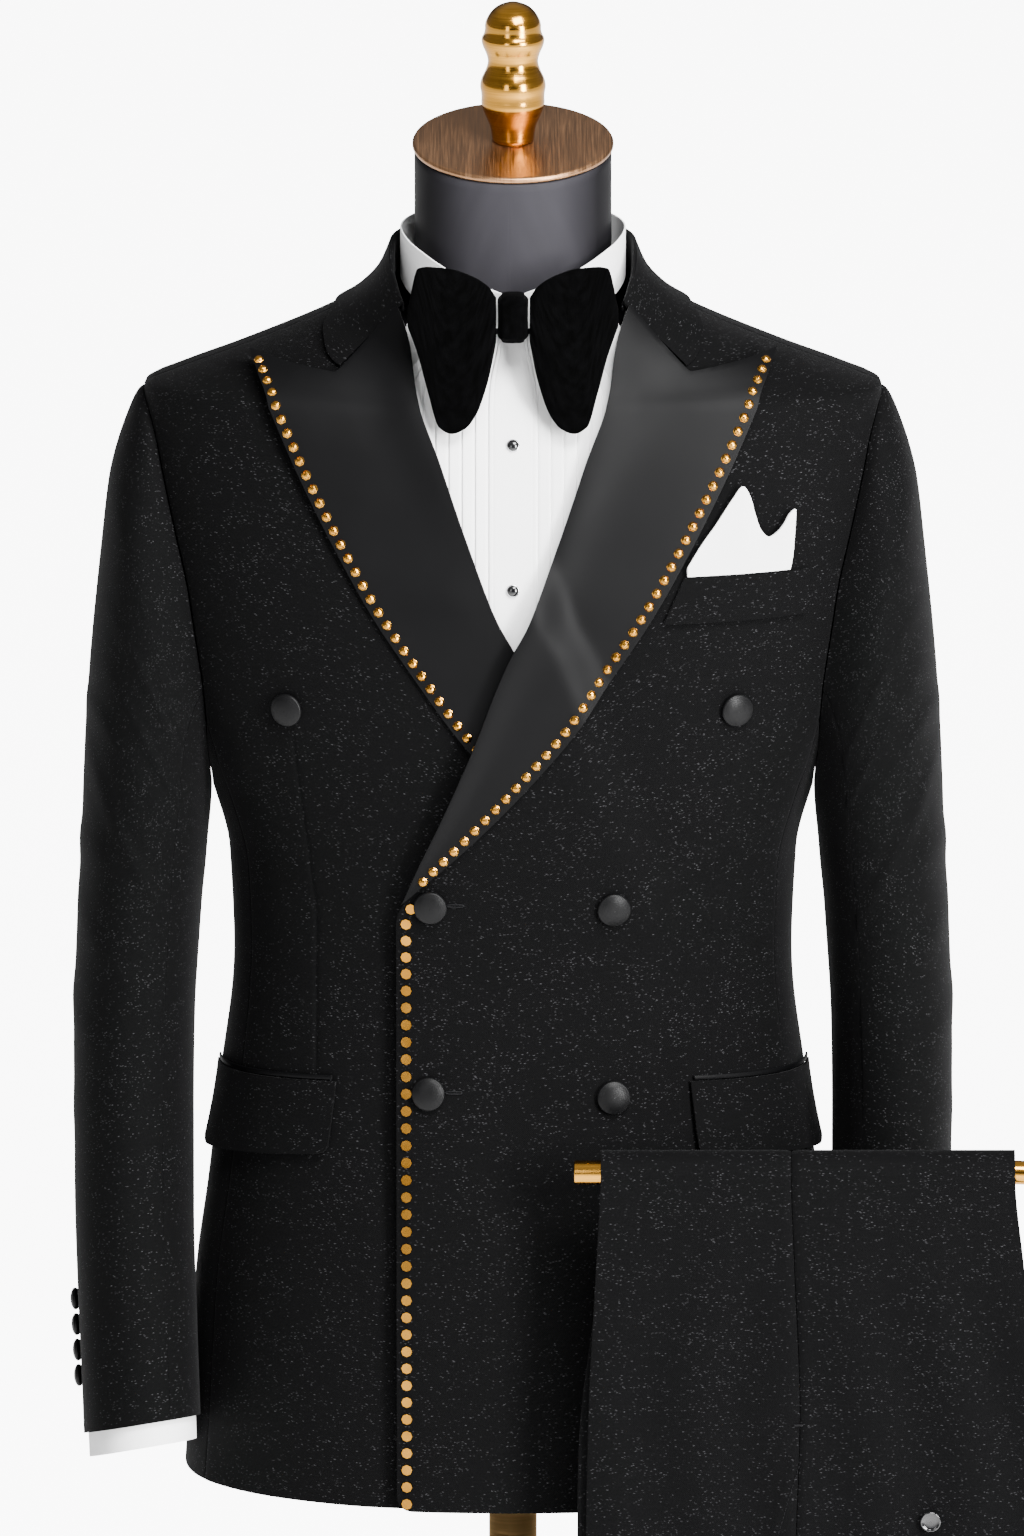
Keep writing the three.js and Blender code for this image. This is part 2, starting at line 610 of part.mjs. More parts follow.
for (const [side, turnOver] of [["left", (rows) => rows], ["right", mirrorRows]]) {
  for (const [cut, place] of [["top", topSleeve], ["under", underSleeve]]) {
    add(`sleeve_${cut}_${side}`, between(turnOver(place(sleevePoint)), turnOver(place(sleeveInner))), "twill");
  }
}

// Pieces laid on the fronts: a four-cornered patch of across and height, lifted off the cloth.
function patch(corners, lift, [rows, columns]) {
  const [lowIn, lowOut, topIn, topOut] = corners.map(([x, z]) => [angleAt(x, z), z]);
  return grid(rows, columns, (u, v) => {
    const [angle, z] = [0, 1].map((k) => mix(mix(lowIn[k], lowOut[k], u), mix(topIn[k], topOut[k], u), v));
    return bodyPoint(angle, z, lift(u, v));
  });
}
const flapCloth = 1.6;
const flapCorners = [[114.5, 921], [187, 906], [109.5, 966.5], [182, 957.5]];
const jetCorners = [[112, 967], [182, 958.1], [112, 970], [181.5, 961.1]];
const jetCloth = 1.2;
const flapHang = 3.5;
for (const [side, clear, turnOver] of [["left", layerGap, (rows) => rows], ["right", 0.5, mirrorRows]]) {
  const hang = (u, v) => flapHang * (1 - v) ** 2 * (0.4 + 0.6 * u);
  const flap = patch(flapCorners, (u, v) => clear + flapCloth + 0.6 + hang(u, v), [4, 7]);
  const jet = patch(jetCorners, () => clear + jetCloth + 0.2, [1, 7]);
  add(`pocket_flap_${side}`, wall(turnOver(flap), flapCloth), "twill");
  add(`pocket_jet_${side}`, wall(turnOver(jet), jetCloth), "satin");
}

const weltCorners = [[93, 1261.8], [181, 1261.4], [106, 1290.2], [184, 1289.2]];
add("breast_welt", wall(patch(weltCorners, () => layerGap + jacketCloth, [2, 5]), jacketCloth), "twill");

// The pocket square shows two peaks above the welt.
const squareRows = [
  { across: 107.5, top: 1297, topAcross: 107.5 },
  { across: 119, top: 1322, topAcross: 125 },
  { across: 131, top: 1344, topAcross: 141 },
  { across: 142, top: 1327, topAcross: 149 },
  { across: 152, top: 1312.5, topAcross: 157 },
  { across: 161, top: 1320, topAcross: 166 },
  { across: 168.5, top: 1328, topAcross: 173.5 },
  { across: 170.5, top: 1303, topAcross: 172 },
];
const squareBase = 1290.8;
const squareGrid = [0, 0.33, 0.67, 1].map((v) =>
  squareRows.map(({ across, top, topAcross }, i) => {
    const ripple = 0.9 * Math.sin(1.7 * i) * v;
    const lift = layerGap + 1.6 + 1.2 + ripple + 1.2 * v;
    return frontPoint(mix(across, topAcross, v), mix(squareBase, top, v), lift);
  }),
);
add("pocket_square", wall(squareGrid, 1.2), "linen");

// A domed button or stud, turned and set on a seat whose way out is known.
function domed({ radius, height }, sides) {
  const profile = [[0, 0], [0.82, 0], [1, 0.36], [0.9, 0.68], [0.5, 0.95], [0, 1]];
  return turned(profile.map(([r, z]) => [r * radius, z * height]), sides);
}
function addButton(name, size, place, out, finishName, sides) {
  const seat = place(out);
  const way = place(out + 1).sub(seat).normalize();
  const mesh = add(name, domed(size, sides), finishName);
  mesh.quaternion.setFromUnitVectors(new THREE.Vector3(0, 0, 1), way);
  mesh.position.copy(seat);
}
const buttonSeat = 0.5;
const buttonPlaces = [
  { name: "button_top_right", across: -140, height: 1204 },
  { name: "button_top_left", across: 138.5, height: 1204 },
  { name: "button_middle_right", across: -50, height: 1083.5 },
  { name: "button_middle_left", across: 61.2, height: 1081.5 },
  { name: "button_low_right", across: -51.2, height: 963 },
  { name: "button_low_left", across: 61, height: 960.5 },
];
for (const { name, across, height } of buttonPlaces) {
  const lift = across < edgeAcross(height) ? 0 : lapLift(across, height);
  addButton(name, frontButton, (out) => frontPoint(across, height, out), lift + buttonSeat, "satin", 12);
}

const cuffButtons = { first: 0.8975, step: 0.0195, count: 4, before: 18 };
for (const [side, sign] of [["left", 1], ["right", -1]]) {
  for (let i = 0; i < cuffButtons.count; i += 1) {
    const down = cuffButtons.first + i * cuffButtons.step;
    const turn = elbowAt(down) - cuffButtons.before;
    const place = (out) => {
      const surface = sleevePoint(turn, down);
      const way = surface.clone().sub(sleeveInner(turn, down)).normalize();
      surface.addScaledVector(way, out);
      return surface.setX(sign * surface.x);
    };
    addButton(`cuff_button_${side}_${i + 1}`, cuffButton, place, 0.4, "satin", 8);
  }
}

// The shirt: a pleated front, a band collar and the ends of the cuffs.
const shirtOut = -(jacketCloth + layerGap) - 0.7;
const pleat = { first: 15.4, pitch: 8.2, count: 7, rise: 0.7, turn: 0.6 };
const placketRise = 0.8;
const shirtEdge = 112;
const shirtColumns = [[0, placketRise], [pleat.first - pleat.turn, placketRise], [pleat.first, 0]];
for (let k = 1; k <= pleat.count; k += 1) {
  const end = pleat.first + k * pleat.pitch;
  shirtColumns.push([end - pleat.turn, pleat.rise], [end, 0]);
}
shirtColumns.push([95, 0], [shirtEdge, 0]);
const shirtWidth = [...shirtColumns.slice(1).reverse().map(([x, rise]) => [-x, rise]), ...shirtColumns];
const shirtHeights = [1085, 1150, 1215, 1284, 1372, 1405];
const neckline = (x) => 1436 + 9 * Math.min(1, (x / 62) ** 2);
const shirtRow = (z, deep) =>
  shirtWidth.map(([across, rise]) => {
    const room = (halfWidth(z) - 6) / shirtEdge;
    const x = across * Math.min(1, room);
    return frontPoint(x, z, shirtOut - deep + (deep ? 0 : rise));
  });
const topRow = (deep) =>
  shirtWidth.map(([across, rise]) => {
    const x = across * 0.58;
    return frontPoint(x, neckline(x), shirtOut - deep + (deep ? 0 : rise));
  });
const shirtRows = (deep) => [...shirtHeights.map((z) => shirtRow(z, deep)), topRow(deep)];
add("shirt_front", between(shirtRows(0), shirtRows(shirtCloth)), "linen");

const bandRows = [
  { turn: 0, front: 76, top: 1460, low: 1439 },
  { turn: 30, front: 74, top: 1472, low: 1441 },
  { turn: 60, front: 69, top: 1483, low: 1450 },
  { turn: 90, front: 65.4, top: 1489, low: 1458 },
  { turn: 180, front: 63.4, top: 1493, low: 1462 },
];
const [bandReach, bandTop, bandLow] = ["front", "top", "low"].map((name) => column(bandRows, "turn", name));
const neckBack = 4;
function bandPoint(turn, v) {
  const away = turn > 180 ? 360 - turn : turn;
  const reach = bandReach(away) - 2.5 * (1 - v) * ease(1 - away / 60);
  const x = 70.3 * Math.sin(toRadians(turn));
  const y = neckBack - reach * Math.cos(toRadians(turn));
  return new THREE.Vector3(x, y, mix(bandLow(away), bandTop(away), v));
}
const band = grid(2, 22, (u, v) => bandPoint(mix(1.2, 358.8, u), v));
add("shirt_collar", wall(band, shirtCloth), "linen");

const cuffInset = 2.9;
const cuffShown = 15;
const cuffHidden = 45;
const shirtCuff = (deep) =>
  [cuffShown, 0, -cuffHidden].map((along) =>
    Array.from({ length: 18 }, (_, j) => {
      const turn = 20 * j;
      const end = sleevePoint(turn, 1);
      const inward = sleeveInner(turn, 0.999).sub(sleevePoint(turn, 0.999)).normalize();
      const way = sleevePoint(turn, 1).sub(sleevePoint(turn, 0.92)).normalize();
      return end.addScaledVector(inward, cuffInset + deep).addScaledVector(way, along);
    }),
  );
add("shirt_cuff_left", between(shirtCuff(0), shirtCuff(shirtCloth), true), "linen");
const rightCuff = (deep) => mirrorRows(shirtCuff(deep));
add("shirt_cuff_right", between(rightCuff(0), rightCuff(shirtCloth), true), "linen");

for (const [name, height] of [["shirt_stud_top", 1372], ["shirt_stud_low", 1284]]) {
  const lift = shirtOut + placketRise + 0.3;
  addButton(name, shirtStud, (out) => frontPoint(0, height, out), lift, "blackStud", 12);
}

// The bow tie: two wings of folded velvet held by a knot.
const wingRows = [
  { across: 10.4, top: 1463, low: 1436.5, half: 6 },
  { across: 15, top: 1469.5, low: 1414, half: 7.5 },
  { across: 23, top: 1475, low: 1391.5, half: 7.5 },
  { across: 30, top: 1478, low: 1383, half: 7 },
  { across: 38, top: 1480.5, low: 1380, half: 6.2 },
  { across: 46, top: 1481.5, low: 1384, half: 5.4 },
  { across: 53, top: 1482, low: 1406, half: 4.6 },
  { across: 59, top: 1481, low: 1428, half: 4 },
  { across: 65.5, top: 1456, low: 1446, half: 3 },
];
const bowTilt = 0.17;
const bowMiddle = (z) => -(87.5 + bowTilt * (1463 - z));
const wingFace = (side) =>
  [0, 0.12, 0.5, 0.88, 1].map((v) =>
    wingRows.map(({ across, top, low, half }) => {
      const z = mix(low, top, v);
      const swell = 0.35 + 0.65 * Math.sin(Math.PI * v);
      return new THREE.Vector3(across, bowMiddle(z) + side * half * swell, z);
    }),
  );
add("bow_wing_left", between(wingFace(-1), wingFace(0.6)), "velvet");
add("bow_wing_right", between(mirrorRows(wingFace(-1)), mirrorRows(wingFace(0.6))), "velvet");

const knot = { halfWidth: 9.9, front: -99.5, back: -71.3, low: 1436, top: 1464.5 };
const knotRings = [[0, 0.72], [0.12, 0.96], [0.5, 1], [0.88, 0.96], [1, 0.72]].map(([v, size]) =>
  Array.from({ length: 12 }, (_, j) => {
    const turn = (2 * Math.PI * j) / 12;
    const square = (value) => Math.sign(value) * Math.abs(value) ** 0.6;
    const x = knot.halfWidth * size * square(Math.cos(turn));
    const halfDeep = (knot.back - knot.front) / 2;
    const y = (knot.back + knot.front) / 2 + halfDeep * size * square(Math.sin(turn));
    return new THREE.Vector3(x, y, mix(knot.low, knot.top, v));
  }),
);
add("bow_knot", stack(knotRings), "velvet");

// The dress form: a plain torso and neck, clear of the cloth, on its pole.
const formInset = 8;
const neckRadius = 61.4;
const capTilt = toRadians(10.5);
const formSides = 20;
const formHeights = [770, 778, 830, 890, 950, 995, 1035, 1075, 1125, 1180, 1240, 1295, 1340, 1372, 1389, 1402, 1416];
const ringAngle = (j) => (360 * j) / formSides;
const neckPoint = (j, z, tilt = 0) => {
  const turn = toRadians(ringAngle(j));
  const y = neckBack - neckRadius * Math.cos(turn);
  return new THREE.Vector3(neckRadius * Math.sin(turn), y, z + Math.tan(tilt) * (y - neckBack));
};
const formRings = formHeights.map((z) =>
  Array.from({ length: formSides }, (_, j) => bodyPoint(ringAngle(j), z, -formInset)),
);
const ringOf = (place) => Array.from({ length: formSides }, (_, j) => place(j));
formRings.push(ringOf((j) => bodyPoint(ringAngle(j), 1430, -formInset).setZ(1423).lerp(neckPoint(j, 1423), 0.3)));
formRings.push(ringOf((j) => neckPoint(j, 1434)));
formRings.push(ringOf((j) => neckPoint(j, capHeight - 6, capTilt)));
formRings.push(ringOf((j) => neckPoint(j, capHeight - 0.4, capTilt)));
add("form_body", stack(formRings), "form");

const capThickness = 4;
const cap = add(
  "form_cap",
  turned([[0, 0], [62.5, 0], [62.8, 1.6], [61.4, capThickness], [0, capThickness]], 28),
  "brass",
);
cap.rotation.x = capTilt;
cap.position.set(0, neckBack, capHeight);

// The turned finial stands upright, its foot cut to the slope of the cap.
const finialRows = [
  [13, 0], [14, 8], [16.2, 13], [20, 22], [19.4, 28], [21, 36], [16, 46], [15.4, 52],
  [20.5, 63], [17.4, 68], [17.6, 75], [12, 83.5], [4, 87],
];
const finialSides = 12;
const finialFoot = capThickness / Math.cos(capTilt) + 0.4;
const finialRings = finialRows.map(([radius, rise], i) =>
  Array.from({ length: finialSides }, (_, j) => {
    const turn = (2 * Math.PI * j) / finialSides;
    const [x, y] = [radius * Math.cos(turn), radius * Math.sin(turn)];
    return new THREE.Vector3(x, neckBack + y, capHeight + finialFoot + rise + (i ? 0 : Math.tan(capTilt) * y));
  }),
);
add("form_finial", stack(finialRings), "brass");

const poleRadius = 15;
const baseTop = 42;
const pole = turned([[0, 0], [poleRadius, 0], [poleRadius, 770 - baseTop - 0.6], [0, 770 - baseTop - 0.6]], 16);
add("form_pole", pole.translate(0, 0, baseTop + 0.3), "brass");
const baseProfile = [[0, 0], [170, 0], [171, 7], [150, 12], [40, 18], [24, 28], [22, baseTop], [0, baseTop]];
add("form_base", turned(baseProfile, 24), "brass");

// The trouser rail: one bent tube clamped to the pole, running out, up, and back across the front.
const rail = { radius: 7.5, across: 352, freeEnd: 38, forward: -185, low: 205, bend: 38 };
const clampWall = { inner: poleRadius + 0.3, outer: 25, low: 190, top: 220 };
const clamp = [[clampWall.inner, clampWall.low], [clampWall.outer, clampWall.low]]
  .concat([[clampWall.outer, clampWall.top], [clampWall.inner, clampWall.top], [clampWall.inner, clampWall.low]]);
add("rail_clamp", turned(clamp, 20), "brass");

const corners = [
  new THREE.Vector3(rail.across, rail.forward, rail.low),
  new THREE.Vector3(rail.across, rail.forward, railHeight),
];
const railStart = corners[0].clone().setZ(0).setLength(clampWall.outer + 0.4).setZ(rail.low);
const railEnd = new THREE.Vector3(rail.freeEnd, rail.forward, railHeight);
const railRoute = [railStart];
corners.forEach((corner, i) => {
  const [from, to] = [[railStart, corners[1]], [corners[0], railEnd]][i];
  const enter = corner.clone().add(from.clone().sub(corner).setLength(rail.bend));
  const leave = corner.clone().add(to.clone().sub(corner).setLength(rail.bend));
  const bend = new THREE.QuadraticBezierCurve3(enter, corner, leave);
  railRoute.push(...bend.getPoints(6));
});
railRoute.push(railEnd);
add("trouser_rail", rod(railRoute, rail.radius, 10), "brass");

// The trousers hang folded in half over the rail: minus is the run in front, down to the waist,
// and plus the run behind, down to the hems. Left, seam and right are seen from the front.
const foldRadius = 13;
const foldArc = (Math.PI * foldRadius) / 2;
const trouserRows = [
  { along: -364, left: 49, seam: 173, right: 327 },
  { along: -324, left: 47.5, seam: 174, right: 330 },
  { along: -236, left: 45.5, seam: 176, right: 333 },
  { along: -150, left: 47, seam: 178.5, right: 326 },
  { along: -60, left: 51.5, seam: 175, right: 318 },
  { along: 0, left: 54.5, seam: 173, right: 312 },
  { along: 70, left: 56, seam: 173.5, right: 311 },
  { along: 250, left: 62, seam: 177, right: 305 },
  { along: 480, left: 73, seam: 184, right: 298 },
  { along: 684, left: 82, seam: 188, right: 294 },
];
const [trouserLeft, trouserSeam, trouserRight] = ["left", "seam", "right"].map((name) =>
  column(trouserRows, "along", name),
);
// A place on the fold: how far along, across, and how far out from the middle of the rail.
function foldPoint(along, x, radius) {
  const turn = Math.max(-1, Math.min(1, along / foldArc)) * (Math.PI / 2);
  const drop = Math.max(0, Math.abs(along) - foldArc);
  const y = rail.forward + radius * Math.sin(turn);
  return new THREE.Vector3(x, y, railHeight + radius * Math.cos(turn) - drop);
}
const waistSeam = -324 - foldArc;
const waistEnd = -364 - foldArc;
const legEnd = 684 + foldArc;
const archSteps = [-1, -0.75, -0.5, -0.25, 0, 0.25, 0.5, 0.75, 1].map((share) => share * foldArc);
const runSteps = [waistSeam + seamGap, -250, -170, -95].concat(archSteps, [95, 200, 340, 510, legEnd]);
const layers = { inner: 8.3, middle: 10, outer: 11.9, cloth: 12.5 + trouserCloth };
const creaseWave = { depth: 1.5, count: 2.5 };
function trouserPanel(from, to, columns, deep) {
  return runSteps.map((along) =>
    Array.from({ length: columns + 1 }, (_, j) => {
      const flat = along > 0 ? along - foldArc : along + foldArc;
      const place = Math.abs(along) < foldArc ? 0 : flat;
      const u = j / columns;
      const wave = creaseWave.depth * ease(Math.abs(place) / 160) * Math.sin(Math.PI * creaseWave.count * u) ** 2;
      return foldPoint(along, mix(from(place), to(place), u), layers.cloth + wave - deep);
    }),
  );
}
const halfSeam = seamGap / 2;
const frontCloth = (deep) => trouserPanel(trouserLeft, (s) => trouserSeam(s) - halfSeam, 5, deep);
const seatCloth = (deep) => trouserPanel((s) => trouserSeam(s) + halfSeam, trouserRight, 5, deep);
add("trouser_front", between(frontCloth(0), frontCloth(trouserCloth)), "twill");
add("trouser_back", between(seatCloth(0), seatCloth(trouserCloth)), "twill");

// The layers under the top one are one solid, grooved along its edges where the layers part.
const edgeGroove = 3;
const layerSteps = [waistEnd, waistSeam, -170, -95].concat(archSteps, [95, 200, 340, 510, legEnd]);
const layerRings = layerSteps.map((along) => {
  const flat = Math.abs(along) < foldArc ? 0 : along - Math.sign(along) * foldArc;
  const [left, right] = [trouserLeft(flat) + 1.5, trouserRight(flat) - 1.5];
  const fly = 7 * ease((-flat - 60) / 120);
  const middle = (left + right) / 2;
  const outline = [
    [left, layers.outer], [middle, layers.outer], [right, layers.outer],
    [right - edgeGroove, layers.middle + 0.4], [right, layers.middle], [right - edgeGroove, layers.inner + 1],
    [right - 1, layers.inner], [middle, layers.inner], [left - fly, layers.inner],
    [left - fly + edgeGroove, layers.inner + 1], [left - fly, layers.middle], [left + edgeGroove, layers.middle + 0.8],
  ];
  return outline.map(([x, radius]) => foldPoint(along, x, radius));
});
add("trouser_layers", stack(layerRings), "twill");

const waistCloth = 2.2;
const waistband = (deep) =>
  [waistEnd, waistSeam - seamGap].map((along) => {
    const flat = along + foldArc;
    return [0, 0.25, 0.5, 0.75, 1].map((u) =>
      foldPoint(along, mix(trouserLeft(flat), trouserRight(flat), u), layers.cloth + 0.6 - deep),
    );
  });
add("trouser_waistband", between(waistband(0), waistband(waistCloth)), "twill");

const backPocket = { across: 260, drop: 240, half: 62, deep: 10, buttonDrop: 219.5 };
const pocketWelt = (deep) =>
  [backPocket.drop + backPocket.deep, backPocket.drop].map((drop) =>
    [-1, -0.5, 0, 0.5, 1].map((u) =>
      foldPoint(-drop - foldArc, backPocket.across + u * backPocket.half, layers.cloth + creaseWave.depth + 1.6 - deep),
    ),
  );
add("trouser_back_pocket", between(pocketWelt(0), pocketWelt(1.2)), "twill");
const pocketButton = { radius: 6.6, height: 3 };
const buttonSpot = (out) =>
  foldPoint(-backPocket.buttonDrop - foldArc, backPocket.across, layers.cloth + creaseWave.depth + out);
addButton("trouser_pocket_button", pocketButton, buttonSpot, 0.3, "blackStud", 12);

export default tuxedo;
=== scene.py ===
# A double-breasted tuxedo on a dress form, with its trousers over a rail.
# Tables and lengths are in millimetres; makeMesh turns them into metres.
# Left and right are the wearer's own: left is at +X, and the front faces -Y.
import math

import bpy
import numpy as np
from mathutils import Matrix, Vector


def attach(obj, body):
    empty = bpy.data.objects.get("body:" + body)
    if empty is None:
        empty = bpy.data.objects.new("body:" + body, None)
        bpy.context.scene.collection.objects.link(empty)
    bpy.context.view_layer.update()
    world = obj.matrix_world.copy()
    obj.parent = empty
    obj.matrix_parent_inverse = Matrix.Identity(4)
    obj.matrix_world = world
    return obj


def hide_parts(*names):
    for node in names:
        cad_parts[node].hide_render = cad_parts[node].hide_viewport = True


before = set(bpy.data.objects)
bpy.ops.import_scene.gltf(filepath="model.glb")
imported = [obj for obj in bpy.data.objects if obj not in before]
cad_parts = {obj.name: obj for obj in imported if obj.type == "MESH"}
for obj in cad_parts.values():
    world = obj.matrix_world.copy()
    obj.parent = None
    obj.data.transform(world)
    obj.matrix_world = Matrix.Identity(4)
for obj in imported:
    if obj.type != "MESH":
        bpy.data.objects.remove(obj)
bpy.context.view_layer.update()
print("frame loaded:", len(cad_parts), "nodes")


# helpers for shapes
def ease(t):
    # 3t^2 - 2t^3, held at 0 and 1 outside
    t = np.clip(t, 0, 1)
    return t * t * (3 - 2 * t)


def curve(table, name, over="height"):
    # A cubic through the table's column that never overshoots: the slope at a row is the
    # harmonic mean of the slopes beside it, or zero where they differ in sign.
    at = np.array(table[over], float)
    value = np.array(table[name], float)
    rise = np.diff(value) / np.diff(at)
    a, b = rise[:-1], rise[1:]
    inner = np.where(a * b > 0, 2 * a * b / np.where(a + b == 0, 1, a + b), 0)
    slope = np.concatenate([rise[:1], inner, rise[-1:]])

    def read(x):
        x = np.clip(np.asarray(x, float), at[0], at[-1])
        i = np.clip(np.searchsorted(at, x, side="right") - 1, 0, len(at) - 2)
        step = at[i + 1] - at[i]
        t = (x - at[i]) / step
        bend = (slope[i] * (1 - t) - slope[i + 1] * t) * step * t * (1 - t)
        return value[i] + (value[i + 1] - value[i]) * ease(t) + bend

    return read


def mix(a, b, t):
    # A straight blend: a at t 0, b at t 1
    return a + (b - a) * t


def stackXyz(x, y, z):
    x, y, z = np.broadcast_arrays(x, y, z)
    return np.stack([x, y, z], axis=-1).astype(float)


def unit(v):
    return v / np.maximum(np.linalg.norm(v, axis=-1, keepdims=True), 1e-12)


def waves(x, z, seed):
    # A smooth unevenness between -1 and 1: five crossed sines of 70 to 210 mm
    rng = np.random.default_rng(seed)
    total = 0
    for length in (210, 160, 120, 95, 70):
        turn, phase = rng.uniform(0, math.pi), rng.uniform(0, 2 * math.pi)
        total = total + np.sin(2 * math.pi * (x * math.cos(turn) + z * math.sin(turn)) / length + phase)
    return total / 5


def signedPower(v, power):
    # The power of the size, with the sign kept
    return np.sign(v) * np.abs(v) ** power


def fineEnds(near, start, end, count, far):
    # Even steps from start to end, with the finer ones given before and after them
    return np.concatenate([near, np.linspace(start, end, count), far])


def quads(rows, columns, isRound=False):
    # The faces of a grid whose points are numbered row by row
    across = columns if isRound else columns - 1
    i, j = np.meshgrid(np.arange(rows - 1), np.arange(across), indexing="ij")
    k = (j + 1) % columns
    return np.stack([i * columns + j, i * columns + k, (i + 1) * columns + k, (i + 1) * columns + j], -1).reshape(-1, 4)


def makeMesh(name, points, faces, uv=None, smooth=True):
    # points in millimetres, faces a list of arrays of equal width, uv one pair a point
    points = np.asarray(points, float).reshape(-1, 3) / 1000
    mesh = bpy.data.meshes.new(name)
    groups = [np.asarray(f, np.int32) for f in faces if len(f)]
    loops = np.concatenate([f.ravel() for f in groups])
    sizes = np.concatenate([np.full(len(f), f.shape[1], np.int32) for f in groups])
    mesh.vertices.add(len(points))
    mesh.vertices.foreach_set("co", points.ravel())
    mesh.loops.add(len(loops))
    mesh.loops.foreach_set("vertex_index", loops)
    mesh.polygons.add(len(sizes))
    mesh.polygons.foreach_set("loop_start", np.concatenate([[0], np.cumsum(sizes)[:-1]]).astype(np.int32))
    mesh.polygons.foreach_set("loop_total", sizes)
    mesh.polygons.foreach_set("use_smooth", np.full(len(sizes), smooth))
    if uv is not None:
        layer = mesh.uv_layers.new(name="cloth")
        layer.data.foreach_set("uv", np.asarray(uv, float).reshape(-1, 2)[loops].ravel())
    mesh.update(calc_edges=True)
    mesh.validate()
    piece = bpy.data.objects.new(name, mesh)
    bpy.context.scene.collection.objects.link(piece)
    return piece


def lengthsOf(rows):
    # How far each point lies along its row and along its column, in metres, from the grid's middle
    across = np.linalg.norm(np.diff(rows, axis=1), axis=-1)
    along = np.linalg.norm(np.diff(rows, axis=0), axis=-1)
    u = np.concatenate([np.zeros((rows.shape[0], 1)), np.cumsum(across, 1)], 1)
    v = np.concatenate([np.zeros((1, rows.shape[1])), np.cumsum(along, 0)], 0)
    u = u - u[:, [u.shape[1] // 2]]
    return np.stack([u, v], -1) / 1000


def volumeOf(points, faces):
    # Six times the signed volume inside the faces
    total = 0
    for f in faces:
        for k in range(1, f.shape[1] - 1):
            total += np.einsum("ij,ij->", points[f[:, 0]], np.cross(points[f[:, k]], points[f[:, k + 1]]))
    return total


def facingOut(points, faces):
    # The faces as they are, or all turned over where they enclose a negative volume
    return [f[:, ::-1] for f in faces] if volumeOf(points, faces) < 0 else faces


def between(name, outer, inner, isRound=False):
    # A closed wall between two grids of the same size, turned so that its faces point out
    rows, columns = outer.shape[:2]
    size = rows * columns
    face = quads(rows, columns, isRound)
    number = np.arange(size).reshape(rows, columns)

    def rim(line, deep):
        return np.stack([line[:-1], deep[:-1], deep[1:], line[1:]], -1)

    low, high = number[0], number[-1]
    if isRound:
        low, high = np.append(low, low[0]), np.append(high, high[0])
    rims = [rim(low, low + size), rim(high, high + size)[:, ::-1]]
    if not isRound:
        rims += [rim(number[:, 0], number[:, 0] + size)[:, ::-1], rim(number[:, -1], number[:, -1] + size)]
    faces = [face, (face + size)[:, ::-1], *rims]
    points = np.concatenate([outer.reshape(-1, 3), inner.reshape(-1, 3)])
    if isRound:
        uv = lengthsOf(np.concatenate([outer, outer[:, :1]], 1))[:, :-1]
    else:
        uv = lengthsOf(outer)
    return makeMesh(name, points, facingOut(points, faces), np.concatenate([uv.reshape(-1, 2)] * 2))


def normalsOf(rows, isRound=False):
    # The cross product of the steps along a row and along a column
    if isRound:
        around = np.roll(rows, -1, 1) - np.roll(rows, 1, 1)
    else:
        around = np.gradient(rows, axis=1)
    return unit(np.cross(around, np.gradient(rows, axis=0)))


def wall(name, rows, thickness, isRound=False):
    # A wall whose outer face is the rows, and whose inner face lies back along their normals
    return between(name, rows, rows - normalsOf(rows, isRound) * thickness, isRound)


def closedRings(name, rings, smooth=True):
    # A solid of rings, each closed on itself, with a fan at both ends
    count, width = rings.shape[:2]
    points = np.concatenate([rings.reshape(-1, 3), [rings[0].mean(0)], [rings[-1].mean(0)]])
    j = np.arange(width)
    k = (j + 1) % width
    last = (count - 1) * width
    low = np.stack([k, j, np.full(width, count * width)], -1)
    high = np.stack([last + j, last + k, np.full(width, count * width + 1)], -1)
    faces = facingOut(points, [quads(count, width, True), low, high])
    uv = lengthsOf(np.concatenate([rings, rings[:, :1]], 1))[:, :-1].reshape(-1, 2)
    uv = np.concatenate([uv, [[0, 0], [0, 1]]])
    return makeMesh(name, points, faces, uv, smooth)


def lathe(name, profile, sides, smooth=True):
    # A profile of radius and height carried round the Z axis; where it starts and ends on the axis it is closed
    profile = np.array(profile, float)
    turn = np.arange(sides) * 2 * math.pi / sides
    x = profile[:, :1] * np.cos(turn)
    y = profile[:, :1] * np.sin(turn)
    return closedRings(name, stackXyz(x, y, profile[:, 1:]), smooth)


def softProfile(profile, steps):
    # Each corner of a profile rounded by cutting it twice, a quarter of the way from its ends
    line = np.array(profile, float)
    for _ in range(steps):
        a, b = line[:-1], line[1:]
        cut = np.stack([mix(a, b, 0.25), mix(a, b, 0.75)], 1).reshape(-1, 2)
        line = np.concatenate([line[:1], cut, line[-1:]])
    return line


def tube(name, route, radius, sides):
    # A circle carried along a route, its first side kept as level as it can be
    route = np.asarray(route, float)
    way = unit(np.gradient(route, axis=0))
    up = np.array([0.0, 0.0, 1.0])
    side = np.cross(up, way)
    weak = np.linalg.norm(side, axis=1) < 0.2
    side[weak] = np.array([1.0, 0.0, 0.0])
    side = unit(side - (side * way).sum(1, keepdims=True) * way)
    other = np.cross(way, side)
    turn = np.arange(sides) * 2 * math.pi / sides
    ring = side[:, None] * np.cos(turn)[None, :, None] + other[:, None] * np.sin(turn)[None, :, None]
    return closedRings(name, route[:, None] + ring * radius)


def mirrored(rows):
    # The same grid on the other side of the body, its columns read backwards
    return (rows * np.array([-1, 1, 1]))[:, ::-1]


bothSides = (("left", lambda rows: rows), ("right", mirrored))


